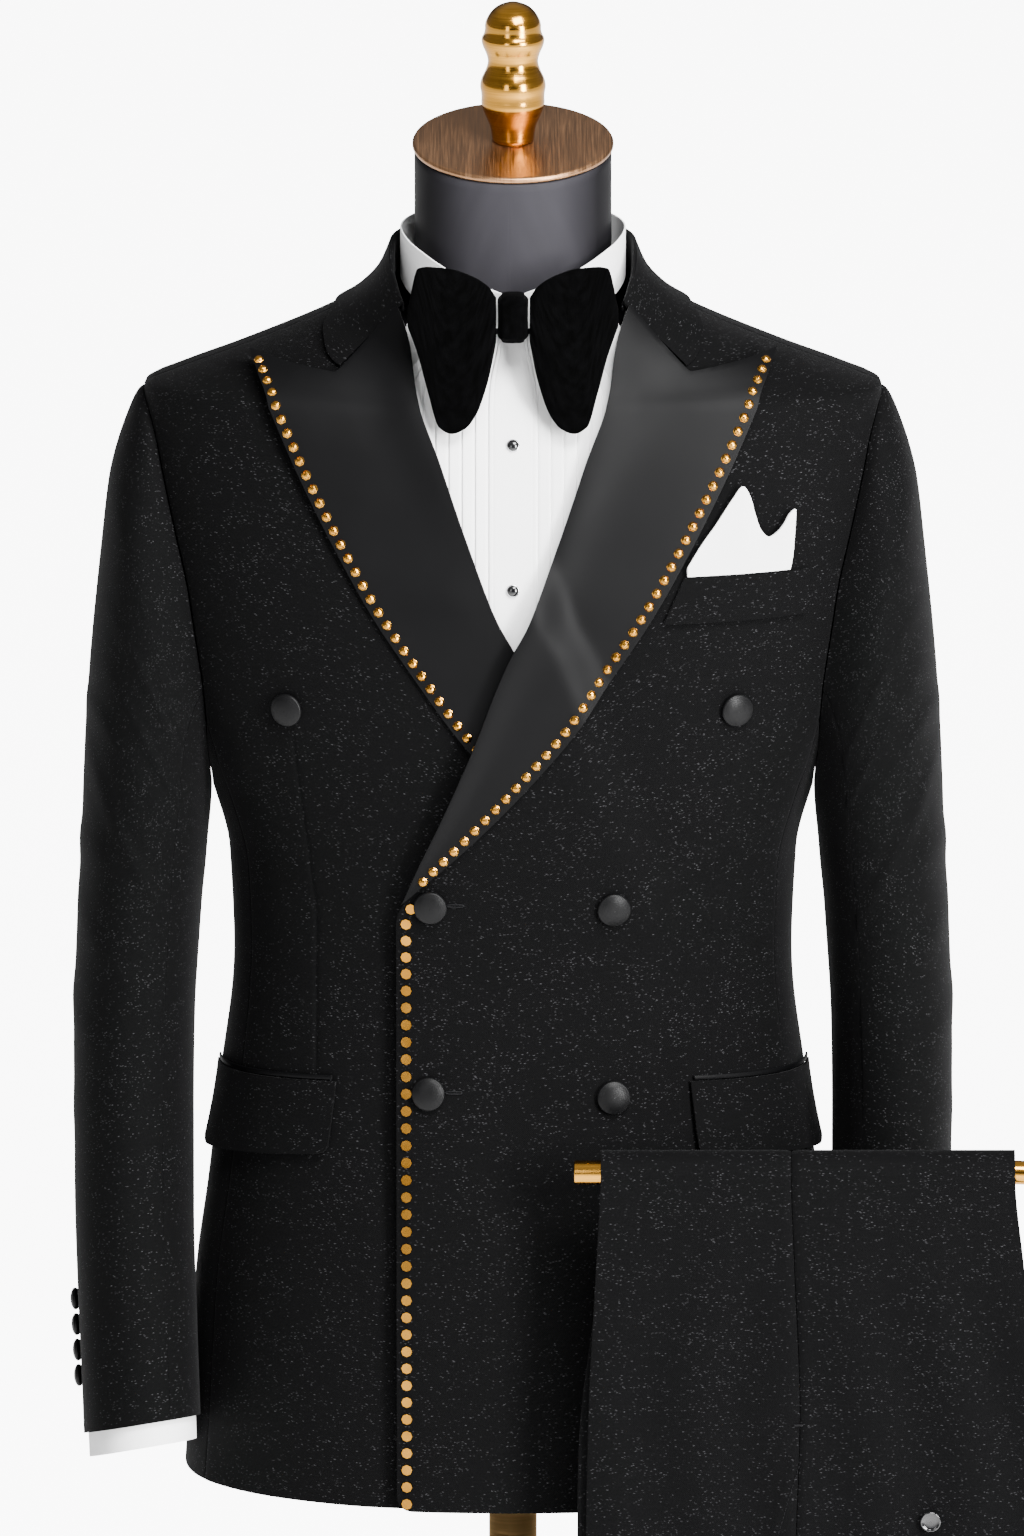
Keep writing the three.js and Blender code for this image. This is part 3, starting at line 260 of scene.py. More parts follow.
def rounded(piece, width, segments=3, angle=40):
    # Softens the edges of a wall that turn by more than the angle
    bevel = piece.modifiers.new("edge", "BEVEL")
    bevel.width = width / 1000
    bevel.segments = segments
    bevel.limit_method = "ANGLE"
    bevel.angle_limit = math.radians(angle)
    return piece


def finishPiece(piece, material, slotName, *nodes):
    # Gives a piece its material and puts it in the place of its CAD nodes, which it hides; slotName is not used
    piece.data.materials.clear()
    piece.data.materials.append(material)
    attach(piece, "root")
    if nodes:
        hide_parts(*nodes)
    return piece


# the body under the cloth, as in the solids: sections from hem to neck
sections = {
    "height": [700, 830, 902, 955, 1038, 1094, 1136, 1170, 1210, 1260, 1309, 1350, 1390, 1399, 1411.5, 1437.5, 1448,
               1462, 1480],
    "halfWidth": [205.5, 197.5, 188, 182, 174.3, 177, 188, 199.5, 210, 221, 228, 231, 230, 211, 177, 114, 95, 81, 72.7],
    "front": [140, 135, 128, 121, 113, 117, 121, 123, 124.5, 124, 117, 107, 90, 84, 78, 68, 65, 63, 61],
    "back": [118, 121, 111, 100, 87, 92, 99, 105, 110, 113, 112, 105, 92, 88, 83, 75, 72, 70, 68],
    "roundness": 2.3,
    "unevenness": 0.9,
}
halfWidth, frontDepth, backDepth = [curve(sections, n) for n in ("halfWidth", "front", "back")]


def bodyPoint(angle, z, out=0):
    # A superellipse at each height: x = W sin^(2/n), y = -D cos^(2/n), moved out along its true normal.
    # Angle 0 is the front, 90 the wearer's left, 180 the back. The cloth's slight unevenness adds to out.
    angle, z, out = np.broadcast_arrays(np.asarray(angle, float), np.asarray(z, float), np.asarray(out, float))
    power = sections["roundness"]
    s, c = np.sin(np.radians(angle)), np.cos(np.radians(angle))
    c = np.where(np.abs(c) < 1e-9, 0, c)

    def depthAt(height):
        return np.where(c > 0, frontDepth(height), backDepth(height))

    depth = depthAt(z)
    width = halfWidth(z)
    x = width * signedPower(s, 2 / power)
    y = -depth * signedPower(c, 2 / power)
    across = (np.abs(x) / width) ** power
    along = (np.abs(y) / depth) ** power
    widthRate = (halfWidth(z + 1) - halfWidth(z - 1)) / 2
    depthRate = (depthAt(z + 1) - depthAt(z - 1)) / 2
    nx = np.where(x == 0, 0, across / np.where(x == 0, 1, x))
    ny = np.where(y == 0, 0, along / np.where(y == 0, 1, y))
    nz = -across * widthRate / width - along * depthRate / depth
    normal = unit(stackXyz(nx, ny, nz))
    fade = ease((1400 - z) / 90)
    soft = sections["unevenness"] * fade * waves(x + 0.6 * y, z, 4)
    return stackXyz(x, y, z) + normal * (out + soft)[..., None]


def angleAt(x, z):
    # The body's angle at which the superellipse reaches x: the arcsine of the width share to the power n/2
    x = np.asarray(x, float)
    share = np.minimum(1, np.abs(x) / halfWidth(z))
    return np.sign(x) * np.degrees(np.arcsin(share ** (sections["roundness"] / 2)))


def frontPoint(x, z, out=0):
    # A point on the front, given by how far across it lies
    return bodyPoint(angleAt(x, z), z, out)


# the cut of the jacket
cut = {
    "cloth": 1.8, "sleeveCloth": 1.6, "layerGap": 1.1, "seam": 0.3, "hem": 700, "shoulderTip": 1390,
    "hemCorner": 9, "sideSeam": 68, "sideSeamTop": 1186, "lapRun": 32, "edgeRoll": 0.7,
    "seamAngle": 0.07, "sleeveSeamAngle": 0.12,
}
cut["lapHeight"] = 2 * (cut["cloth"] + cut["layerGap"]) + 2.5
armhole = {
    "height": [1136, 1150, 1186, 1218, 1266, 1322, 1360, 1380, 1390],
    "angle": [90, 78, 68, 64.6, 63.4, 67.2, 72.5, 80, 90],
}
frontEdge = {
    "height": [700, 1074, 1088, 1112, 1140, 1182, 1240, 1267, 1316, 1360, 1397, 1430, 1449, 1480],
    "across": [-71, -71, -64.6, -55, -42.5, -25, -2.5, 11.9, 30.6, 46.2, 60.3, 65, 71.6, 84],
}
armholeAngle = curve(armhole, "angle")
edgeAcross = curve(frontEdge, "across")


def lapLift(x, z):
    # How far the lapped front stands out: full over its own half, falling to nothing over the lap's run
    underEdge = 10 - edgeAcross(z)
    return cut["lapHeight"] * ease(1 - (x - underEdge) / cut["lapRun"])


def frontEnd(z):
    # The angle where a front panel ends: the side seam, then the armhole, then the shoulder
    upper = np.where(z >= cut["shoulderTip"], 90, armholeAngle(z))
    return np.where(z <= cut["sideSeamTop"], cut["sideSeam"], upper)


def cornerCut(z):
    # A quarter circle cut off the lower corner
    r = cut["hemCorner"]
    below = np.maximum(0, r + cut["hem"] - z)
    return r - np.sqrt(np.maximum(0, r * r - below * below))


# materials
def socket(group, name, kind, side, value=None):
    made = group.interface.new_socket(name=name, in_out=side, socket_type=kind)
    if value is not None:
        made.default_value = value
    return made


def node(tree, kind, **values):
    # A node with its settings; a value whose name is a socket's goes to that socket
    made = tree.nodes.new(kind)
    for key, value in values.items():
        if hasattr(made, key):
            setattr(made, key, value)
        else:
            made.inputs[key].default_value = value
    return made


def mathNode(tree, operation, a, b=None):
    # One operation; each value may be a socket or a number
    made = tree.nodes.new("ShaderNodeMath")
    made.operation = operation
    for index, value in enumerate((a, b)):
        if isinstance(value, bpy.types.NodeSocket):
            tree.links.new(value, made.inputs[index])
        elif value is not None:
            made.inputs[index].default_value = value
    return made.outputs[0]


def mapRange(tree, value, low, high, toLow=0.0, toHigh=1.0):
    made = tree.nodes.new("ShaderNodeMapRange")
    tree.links.new(value, made.inputs["Value"])
    for name, number in (("From Min", low), ("From Max", high), ("To Min", toLow), ("To Max", toHigh)):
        made.inputs[name].default_value = number
    return made.outputs[0]


def blendColor(tree, factor, a, b):
    # The colour a blended to b; each value may be a socket or a number
    made = tree.nodes.new("ShaderNodeMix")
    made.data_type = "RGBA"
    for index, value in ((0, factor), (6, a), (7, b)):
        if isinstance(value, bpy.types.NodeSocket):
            tree.links.new(value, made.inputs[index])
        else:
            made.inputs[index].default_value = value if index == 0 else (*value, 1) if len(value) == 3 else value
    return made.outputs[2]


def stretched(tree, vector, scale, turn=0.0):
    made = tree.nodes.new("ShaderNodeMapping")
    tree.links.new(vector, made.inputs["Vector"])
    made.inputs["Rotation"].default_value = (0, 0, turn)
    made.inputs["Scale"].default_value = scale
    return made.outputs[0]


def newGroup(name, inputs, outputs):
    group = bpy.data.node_groups.new(name, "ShaderNodeTree")
    for key, kind, value in inputs:
        socket(group, key, kind, "INPUT", value)
    for key, kind in outputs:
        socket(group, key, kind, "OUTPUT")
    return group, group.nodes.new("NodeGroupInput"), group.nodes.new("NodeGroupOutput")


def makeWeave():
    # Diagonal ribs crossed by finer threads: sin of the sum of the two thread counts, times the threads' own
    group, start, end = newGroup(
        "clothWeave",
        [("Vector", "NodeSocketVector", None), ("Threads", "NodeSocketFloat", 1700.0),
         ("Slant", "NodeSocketFloat", 1.0), ("Ruffle", "NodeSocketFloat", 0.25)],
        [("Height", "NodeSocketFloat")],
    )
    split = group.nodes.new("ShaderNodeSeparateXYZ")
    group.links.new(start.outputs["Vector"], split.inputs[0])
    noise = node(group, "ShaderNodeTexNoise", Scale=900.0, Detail=2.0)
    group.links.new(start.outputs["Vector"], noise.inputs["Vector"])
    across = mathNode(group, "MULTIPLY", split.outputs[0], start.outputs["Threads"])
    along = mathNode(group, "MULTIPLY", split.outputs[1], start.outputs["Threads"])
    slanted = mathNode(group, "MULTIPLY", along, start.outputs["Slant"])
    ruffleTurn = mathNode(group, "MULTIPLY", start.outputs["Ruffle"], 12.0)
    ruffle = mathNode(group, "MULTIPLY", noise.outputs["Fac"], ruffleTurn)
    ribs = mathNode(group, "SINE", mathNode(group, "ADD", mathNode(group, "ADD", across, slanted), ruffle))
    threads = mathNode(group, "SINE", mathNode(group, "MULTIPLY", mathNode(group, "SUBTRACT", along, across), 2.0))
    both = mathNode(group, "ADD", ribs, mathNode(group, "MULTIPLY", threads, 0.4))
    fuzz = mathNode(group, "MULTIPLY", mathNode(group, "SUBTRACT", noise.outputs["Fac"], 0.5), 1.4)
    total = mathNode(group, "ADD", mathNode(group, "MULTIPLY", both, 0.35), fuzz)
    group.links.new(total, end.inputs["Height"])
    return group


def makeFlecks():
    # Short bright dashes: one in a few cells of a slanted Voronoi, thicker where a broad noise is high
    group, start, end = newGroup(
        "metalFlecks",
        [("Vector", "NodeSocketVector", None), ("Amount", "NodeSocketFloat", 0.2)],
        [("Mask", "NodeSocketFloat"), ("Slub", "NodeSocketFloat")],
    )
    patches = node(group, "ShaderNodeTexNoise", Scale=70.0, Detail=3.0)
    group.links.new(stretched(group, start.outputs["Vector"], (0.35, 1, 1)), patches.inputs["Vector"])
    masks = []
    for turn, size, offset in ((0.6, (620, 1500, 1), 0.0), (-0.25, (480, 1350, 1), 3.7)):
        cells = node(group, "ShaderNodeTexVoronoi", Scale=1.0, Randomness=1.0)
        moved = stretched(group, start.outputs["Vector"], size, turn)
        shift = group.nodes.new("ShaderNodeVectorMath")
        shift.operation = "ADD"
        group.links.new(moved, shift.inputs[0])
        shift.inputs[1].default_value = (offset, offset, offset)
        group.links.new(shift.outputs[0], cells.inputs["Vector"])
        split = group.nodes.new("ShaderNodeSeparateColor")
        group.links.new(cells.outputs["Color"], split.inputs[0])
        thick = mapRange(group, patches.outputs["Fac"], 0.35, 0.7, 0.25, 1.5)
        share = mathNode(group, "MULTIPLY", start.outputs["Amount"], thick)
        chosen = mathNode(group, "LESS_THAN", split.outputs[0], share)
        dot = mapRange(group, cells.outputs["Distance"], 0.5, 0.12)
        bright = mapRange(group, split.outputs[1], 0.0, 1.0, 0.15, 1.0)
        masks.append(mathNode(group, "MULTIPLY", mathNode(group, "MULTIPLY", chosen, dot), bright))
    group.links.new(mathNode(group, "MAXIMUM", *masks), end.inputs["Mask"])
    slub = node(group, "ShaderNodeTexNoise", Scale=1.0, Detail=3.0)
    group.links.new(stretched(group, start.outputs["Vector"], (60, 900, 1)), slub.inputs["Vector"])
    group.links.new(mapRange(group, slub.outputs["Fac"], 0.45, 0.75), end.inputs["Slub"])
    return group


def makeMottle():
    # Broad and fine noise added, for the slight unevenness of colour and gloss
    group, start, end = newGroup(
        "mottle",
        [("Vector", "NodeSocketVector", None), ("Scale", "NodeSocketFloat", 20.0)],
        [("Broad", "NodeSocketFloat"), ("Fine", "NodeSocketFloat")],
    )
    for name, times in (("Broad", 1.0), ("Fine", 9.0)):
        noise = node(group, "ShaderNodeTexNoise", Detail=3.0)
        group.links.new(start.outputs["Vector"], noise.inputs["Vector"])
        group.links.new(mathNode(group, "MULTIPLY", start.outputs["Scale"], times), noise.inputs["Scale"])
        group.links.new(noise.outputs["Fac"], end.inputs[name])
    return group


weaveGroup, fleckGroup, mottleGroup = makeWeave(), makeFlecks(), makeMottle()


def placed(tree, group, vector, **values):
    made = tree.nodes.new("ShaderNodeGroup")
    made.node_tree = group
    tree.links.new(vector, made.inputs["Vector"])
    for key, value in values.items():
        made.inputs[key].default_value = value
    return made


def newMaterial(name, **values):
    # A material whose shader has the given plain values; returns it with its tree, shader and both coordinates
    material = bpy.data.materials.new(name)
    material.use_nodes = True
    tree = material.node_tree
    shader = tree.nodes["Principled BSDF"]
    for key, value in values.items():
        target = shader.inputs[key.replace("_", " ")]
        target.default_value = (*value, 1) if isinstance(value, tuple) else value
    place = tree.nodes.new("ShaderNodeTexCoord")
    return material, tree, shader, place.outputs["UV"], place.outputs["Object"]


def feed(tree, shader, **values):
    for key, value in values.items():
        tree.links.new(value, shader.inputs[key.replace("_", " ")])


def bumped(tree, shader, height, strength, distance):
    bump = tree.nodes.new("ShaderNodeBump")
    bump.inputs["Strength"].default_value = strength
    bump.inputs["Distance"].default_value = distance / 1000
    tree.links.new(height, bump.inputs["Height"])
    tree.links.new(bump.outputs[0], shader.inputs["Normal"])


def makeTwill(name, dark, light, fleck, amount):
    # Twill ribs between two darks, slubs towards the lighter one, and short bright flecks
    material, tree, shader, uv, _ = newMaterial(
        name, Roughness=0.8, Specular_IOR_Level=0.05, Sheen_Weight=0.02, Sheen_Roughness=0.4,
        Sheen_Tint=(0.8, 0.8, 0.82))
    weave = placed(tree, weaveGroup, uv, Threads=5200.0, Slant=1.0, Ruffle=0.3)
    flecks = placed(tree, fleckGroup, uv, Amount=amount)
    ribs = mapRange(tree, weave.outputs["Height"], -0.5, 0.6)
    base = blendColor(tree, mathNode(tree, "MULTIPLY", ribs, 0.6), dark, light)
    slubbed = blendColor(tree, mathNode(tree, "MULTIPLY", flecks.outputs["Slub"], 0.35), base, light)
    color = blendColor(tree, flecks.outputs["Mask"], slubbed, fleck)
    feed(tree, shader, Base_Color=color, Roughness=mapRange(tree, flecks.outputs["Mask"], 0, 1, 0.82, 0.45))
    bumped(tree, shader, weave.outputs["Height"], 0.5, 0.12)
    return material


def makeSatin(name, color, roughness, gloss, edge=1.0):
    # A fine slanted weave, its tone and gloss varied by broad noise; with edge below 1, painted shade darkens the
    # colour where the cloth turns from the eye
    material, tree, shader, uv, _ = newMaterial(name, Roughness=roughness, Specular_IOR_Level=gloss)
    weave = placed(tree, weaveGroup, uv, Threads=7500.0, Slant=0.25, Ruffle=0.12)
    mottle = placed(tree, mottleGroup, uv, Scale=26.0)
    tone = mapRange(tree, mottle.outputs["Broad"], 0.3, 0.7)
    seen = blendColor(tree, tone, tuple(0.82 * c for c in color), color)
    if edge < 1:
        # Painted shade: the base colour falls towards edge times itself where the cloth turns away from the eye,
        # standing in for the shading at the sides
        away = node(tree, "ShaderNodeLayerWeight", Blend=0.5)
        turned = mapRange(tree, away.outputs["Facing"], 0.12, 0.5)
        seen = blendColor(tree, turned, seen, tuple(edge * c for c in color))
    gloss = mapRange(tree, mottle.outputs["Broad"], 0.3, 0.7, roughness - 0.03, roughness + 0.04)
    feed(tree, shader, Base_Color=seen, Roughness=gloss)
    bumped(tree, shader, weave.outputs["Height"], 0.25, 0.05)
    return material


def makeVelvet():
    # Nearly black, with a faint broad nap and a fine pile in the bump
    material, tree, shader, uv, _ = newMaterial(
        "blackVelvet", Roughness=0.95, Specular_IOR_Level=0.02, Sheen_Weight=0.01, Sheen_Roughness=0.35,
        Sheen_Tint=(0.5, 0.5, 0.52))
    mottle = placed(tree, mottleGroup, uv, Scale=140.0)
    nap = mapRange(tree, mottle.outputs["Broad"], 0.35, 0.7)
    feed(tree, shader, Base_Color=blendColor(tree, nap, (0.0001, 0.0001, 0.0001), (0.0007, 0.0007, 0.0008)))
    bumped(tree, shader, mottle.outputs["Fine"], 0.5, 0.25)
    return material


def makePoplin(name, color):
    # A plain fine weave with a slight broad unevenness of tone
    material, tree, shader, uv, _ = newMaterial(name, Roughness=0.78, Specular_IOR_Level=0.3, Sheen_Weight=0.08)
    weave = placed(tree, weaveGroup, uv, Threads=9000.0, Slant=0.0, Ruffle=0.1)
    mottle = placed(tree, mottleGroup, uv, Scale=18.0)
    tone = mapRange(tree, mottle.outputs["Broad"], 0.3, 0.7)
    feed(tree, shader, Base_Color=blendColor(tree, tone, tuple(0.97 * c for c in color), color))
    bumped(tree, shader, weave.outputs["Height"], 0.2, 0.05)
    return material


def makeMetal(name, dark, light, roughness, brushed, grain=(4, 4, 260)):
    # Metal whose grain is noise drawn out along the way it was brushed or turned
    material, tree, shader, _, at = newMaterial(name, Metallic=1.0, Roughness=roughness)
    streaks = node(tree, "ShaderNodeTexNoise", Scale=9.0, Detail=4.0)
    tree.links.new(stretched(tree, at, grain), streaks.inputs["Vector"])
    mottle = placed(tree, mottleGroup, at, Scale=12.0)
    both = mathNode(tree, "ADD", streaks.outputs["Fac"], mottle.outputs["Broad"])
    tone = mapRange(tree, mathNode(tree, "MULTIPLY", both, 0.5), 0.38, 0.62)
    gloss = mapRange(tree, streaks.outputs["Fac"], 0.35, 0.65, roughness - brushed, roughness + brushed)
    feed(tree, shader, Base_Color=blendColor(tree, tone, dark, light), Roughness=gloss)
    bumped(tree, shader, streaks.outputs["Fac"], 0.12 + brushed, 0.06)
    return material


def makeGloss(name, color, roughness):
    # A coated gloss with faint broad colour and fine roughness noise
    material, tree, shader, _, at = newMaterial(name, Roughness=roughness, Coat_Weight=0.4, Coat_Roughness=0.05)
    mottle = placed(tree, mottleGroup, at, Scale=300.0)
    tone = blendColor(tree, mottle.outputs["Broad"], color, tuple(1.6 * c for c in color))
    gloss = mapRange(tree, mottle.outputs["Fine"], 0.3, 0.7, roughness, roughness + 0.06)
    feed(tree, shader, Base_Color=tone, Roughness=gloss)
    return material


nearBlack = (0.0004, 0.0004, 0.0005)
twill = makeTwill("jacketTwill", nearBlack, (0.0019, 0.0019, 0.002), (0.036, 0.036, 0.038), 0.09)
trouserTwill = makeTwill("trouserTwill", nearBlack, (0.0021, 0.0021, 0.0023), (0.032, 0.032, 0.034), 0.09)
satin = makeSatin("lapelSatin", (0.0012, 0.0012, 0.0014), 0.5, 0.075)
buttonSatin = makeSatin("buttonSatin", (0.0022, 0.0022, 0.0024), 0.42, 0.12)
velvet = makeVelvet()
poplin = makePoplin("shirtPoplin", (0.93, 0.93, 0.93))
# The form's cover carries painted shade: edge 0.2 darkens its sides where they turn from the eye
formCloth = makeSatin("formSateen", (0.027, 0.026, 0.03), 0.5, 0.03, edge=0.2)
brass = makeMetal("polishedBrass", (0.38, 0.175, 0.02), (0.55, 0.27, 0.04), 0.17, 0.04)
# The pole's brass is rougher and lighter than the polished brass; its lighter colour is painted light, standing in for
# the light that the jacket's shadow keeps off the pole
poleBrassPaintedLight = makeMetal("poleBrassPaintedLight", (0.6, 0.36, 0.12), (0.8, 0.5, 0.2), 0.42, 0.06, (3, 3, 90))
bronze = makeMetal("brushedBronze", (0.26, 0.135, 0.065), (0.4, 0.22, 0.115), 0.36, 0.08, (120, 3, 3))
gold = makeMetal("studGold", (0.34, 0.15, 0.016), (0.5, 0.24, 0.035), 0.2, 0.03, (4, 4, 4))
blackGloss = makeGloss("polishedBlack", (0.003, 0.003, 0.0034), 0.08)
silver = makeMetal("studRim", (0.7, 0.7, 0.72), (0.85, 0.85, 0.87), 0.2, 0.03, (4, 4, 4))
thread = makeSatin("blackThread", (0.0025, 0.0025, 0.003), 0.5, 0.1)
print("materials made")


# the jacket's panels
panels = {
    "rowStep": 6.5, "columns": 56, "sideColumns": 34, "backColumns": 52,
    "dart": {"height": [940, 975, 1060, 1134, 1192, 1240], "across": [124, 123, 122.5, 130.6, 138, 143]},
    "dartTop": 1191, "dartFoot": 962, "dartDepth": 0.75, "dartWidth": 1.3,
}
dartAcross = curve(panels["dart"], "across")


def panelHeights(top):
    # Even steps up to the top, with finer ones at the hem and where the shoulder turns in
    low = [700, 700.7, 702, 704, 706.5, 710, 715]
    middle = np.arange(721, 1375, panels["rowStep"])
    high = np.arange(1376, top, 2.6)
    return np.concatenate([low, middle, high, [top]])


def nearFolds(x, z):
    # Soft drag lines from the fastening button out to the waist and up to the chest, and a slight hollow
    # beside the front edge: each a narrow sine ridge that fades along its length
    total = 0
    for x0, z0, dx, dz, high, wide in creases:
        length = math.hypot(dx, dz)
        ux, uz = dx / length, dz / length
        along = ((x - x0) * ux + (z - z0) * uz) / length
        side = (x - x0) * -uz + (z - z0) * ux
        shown = ease(along / 0.2) * ease((1 - along) / 0.5)
        total = total + high * shown * (1 - (side / wide) ** 2) * np.exp(-((side / wide) ** 2))
    return total


# where each starts, across and up, how far it runs, across and up, its height and its width
creases = [
    (75, 1078, 95, 60, 1.1, 11), (70, 1092, 60, 95, 0.9, 13), (76, 1062, 105, 8, 0.8, 12),
    (-65, 1070, -100, 45, 1.0, 12), (-70, 1040, -95, -10, 0.8, 13), (150, 1010, 30, -60, 0.7, 12),
    (-150, 1190, -45, -60, 0.9, 13), (150, 1200, 45, -60, 0.9, 13), (-120, 1010, -60, 10, 0.8, 10),
]


def frontGrid(isUpper, deep):
    # A front panel: columns run from the edge to the dart and on to the seam, close together at the dart.
    # The dart is a groove of Gaussian section that fades at its foot.
    z = panelHeights(1456)[:, None]
    start = angleAt(edgeAcross(z) + cornerCut(z), z)
    end = frontEnd(z) - cut["seamAngle"]
    dart = np.clip(angleAt(np.where(z < 1240, dartAcross(z), 143 + 0.2 * (z - 1240)), z), start + 2, end - 4)
    far = 1 - np.linspace(1, 0, panels["columns"] // 2) ** 1.35
    fine = np.degrees(0.9 / 190) * np.array([-2, -1, 0, 1, 2])
    first = start + (dart + fine[0] - start) * np.concatenate([[0, 0.004, 0.012], mix(0.03, 1, far)])
    last = dart + fine[-1] + (end - dart - fine[-1]) * mix(0, 1, 1 - far[::-1])
    angle = np.concatenate([first, dart + fine[1:-1], last], 1)
    x = bodyPoint(angle, z)[..., 0]
    shown = ease((z - panels["dartFoot"]) / 12) * ease((panels["dartTop"] - z) / 8)
    away = x - bodyPoint(dart, z)[..., 0]
    groove = panels["dartDepth"] * shown * np.exp(-((away / panels["dartWidth"]) ** 2))
    lift = lapLift(x, z) if isUpper else 0
    return bodyPoint(angle, z, lift - deep - (0 if deep else groove) + nearFolds(x if isUpper else -x, z))


def backGrid(deep):
    # A back panel: Gaussian bumps for the shoulder blade, short sines across the waist
    z = panelHeights(1458)[:, None]
    start, end = 180 - frontEnd(z) + cut["seamAngle"], 180 - cut["seamAngle"]
    u = np.linspace(0, 1, panels["backColumns"])[None]
    angle = mix(start, end, u)
    x = bodyPoint(angle, z)[..., 0]
    blades = 1.6 * np.exp(-(((x - 95) / 48) ** 2) - ((z - 1255) / 80) ** 2)
    waist = 0.9 * np.sin((z - 1010) / 15) * np.exp(-(((z - 1030) / 48) ** 2)) * ease((x - 8) / 60)
    return bodyPoint(angle, z, blades + waist - deep)


def sideGrid(deep):
    # Rows fill the height between the hem and the round foot of the armhole
    foot = armhole["height"][0] - cut["seam"]
    u = np.linspace(0, 1, panels["sideColumns"])[None]
    start = cut["sideSeam"] + cut["seamAngle"]
    angle = mix(start, 180 - cut["sideSeam"] - cut["seamAngle"], u)
    top = mix(foot, cut["sideSeamTop"], ((angle - 90) / (90 - cut["sideSeam"])) ** 2)
    heights = panelHeights(cut["sideSeamTop"])
    heights = heights[heights <= cut["sideSeamTop"]]
    share = ((heights - cut["hem"]) / (cut["sideSeamTop"] - cut["hem"]))[:, None]
    z = mix(cut["hem"], top, share)
    return bodyPoint(angle, z, -deep)


for side, flip in bothSides:
    isUpper = side == "left"
    for name, grid, nodeName in (
        ("jacketFront", lambda deep: frontGrid(isUpper, deep), "jacket_front"),
        ("jacketSide", sideGrid, "jacket_side"),
        ("jacketBack", backGrid, "jacket_back"),
    ):
        piece = between(f"{name}_{side}", flip(grid(0)), flip(grid(cut["cloth"])))
        rounded(piece, cut["edgeRoll"], 3)
        finishPiece(piece, twill, "twill", f"{nodeName}_{side}")
print("jacket panels made")


# the lapels
lapel = {
    "height": [1093, 1126, 1154.6, 1191.5, 1230.6, 1269.5, 1301, 1354.5, 1413],
    "across": [-59, -24.5, 3.3, 34.8, 62.6, 88.4, 106.4, 134, 161],
    "notch": (109, 1409.5), "rollTop": 1447.5, "rollFoot": 1085, "rollOver": 1.2,
    "bulge": 3.2, "peakLift": 6.2, "span": 12, "rows": 110, "columns": 44,
}
lapel["at"] = np.linspace(0, 1, 9)
lapelHeight = curve(lapel, "height", "at")
lapelAcross = curve(lapel, "across")


def lapelPoint(u, v, isUpper, out=0):
    # A patch between the roll line (u 0), the outer edge (u 1), the narrow foot (v 0) and the peak and
    # notch (v 1), laid on the front as across and height, then lifted by the roll, the peak and the lap
    u, v = np.broadcast_arrays(u, v)
    rollZ = mix(lapel["rollFoot"], lapel["rollTop"], v)
    rimZ = lapelHeight(v)
    topX, topZ = edgeAcross(lapel["rollTop"]) - lapel["rollOver"], lapel["rollTop"]
    tipX, tipZ = lapel["across"][-1], lapel["height"][-1]
    half, rest = np.minimum(1, 2 * u), np.maximum(0, 2 * u - 1)
    lineX = mix(mix(topX, lapel["notch"][0], half), tipX, rest)
    lineZ = mix(mix(topZ, lapel["notch"][1], half), tipZ, rest)
    x = mix(edgeAcross(rollZ) - lapel["rollOver"], lapelAcross(rimZ), u) + v**3 * (lineX - mix(topX, tipX, u))
    z = mix(rollZ, rimZ, u) + v**3 * (lineZ - mix(topZ, tipZ, u))
    free = 1 if isUpper else ease((z - 1295) / 60)
    roll = free * lapel["bulge"] * np.exp(-((u / 0.22) ** 2)) * ease(v / 0.2)
    lift = cut["layerGap"] + (0.6 if isUpper else 0) + cut["cloth"] + roll + lapel["peakLift"] * u**2 * v**6
    if isUpper:
        lift = lift + lapLift(x - lapel["span"], z)
    return frontPoint(x, z, lift + out)


def seatOn(rows, inset):
    # The line a set way in from the last column, and the cloth's normal along it
    back = rows[:, ::-1]
    step = np.linalg.norm(np.diff(back, axis=1), axis=-1)
    far = np.concatenate([np.zeros((len(back), 1)), np.cumsum(step, 1)], 1)
    k = (far < inset).sum(1) - 1
    i = np.arange(len(back))
    t = ((inset - far[i, k]) / (far[i, k + 1] - far[i, k]))[:, None]
    points = mix(back[i, k], back[i, k + 1], t)
    inward = unit(back[i, k + 1] - back[i, 0])
    up = unit(np.gradient(points, axis=0))
    return points, unit(np.cross(up, inward))


def alongLine(points, normals, count, start, end):
    # Evenly spaced places along a line, from start to the line's end less end
    length = np.concatenate([[0], np.cumsum(np.linalg.norm(np.diff(points, axis=0), axis=1))])
    far = np.linspace(start, length[-1] - end, count)
    at = np.stack([np.interp(far, length, points[:, k]) for k in range(3)], -1)
    way = unit(np.stack([np.interp(far, length, normals[:, k]) for k in range(3)], -1))
    return at, way


studShape = {
    # rings of a domed stud: share of the radius, share of the height, share of a facet by which it is turned
    "rings": [(0.96, -0.35, 0), (1.0, 0.0, 0), (0.93, 0.3, 0.5), (0.68, 0.68, 0), (0.34, 0.93, 0.5)],
    "sides": 8, "lapel": (3.15, 2.5), "edge": (3.55, 2.9), "lapelInset": (6, 5), "edgeInset": 6.5,
}


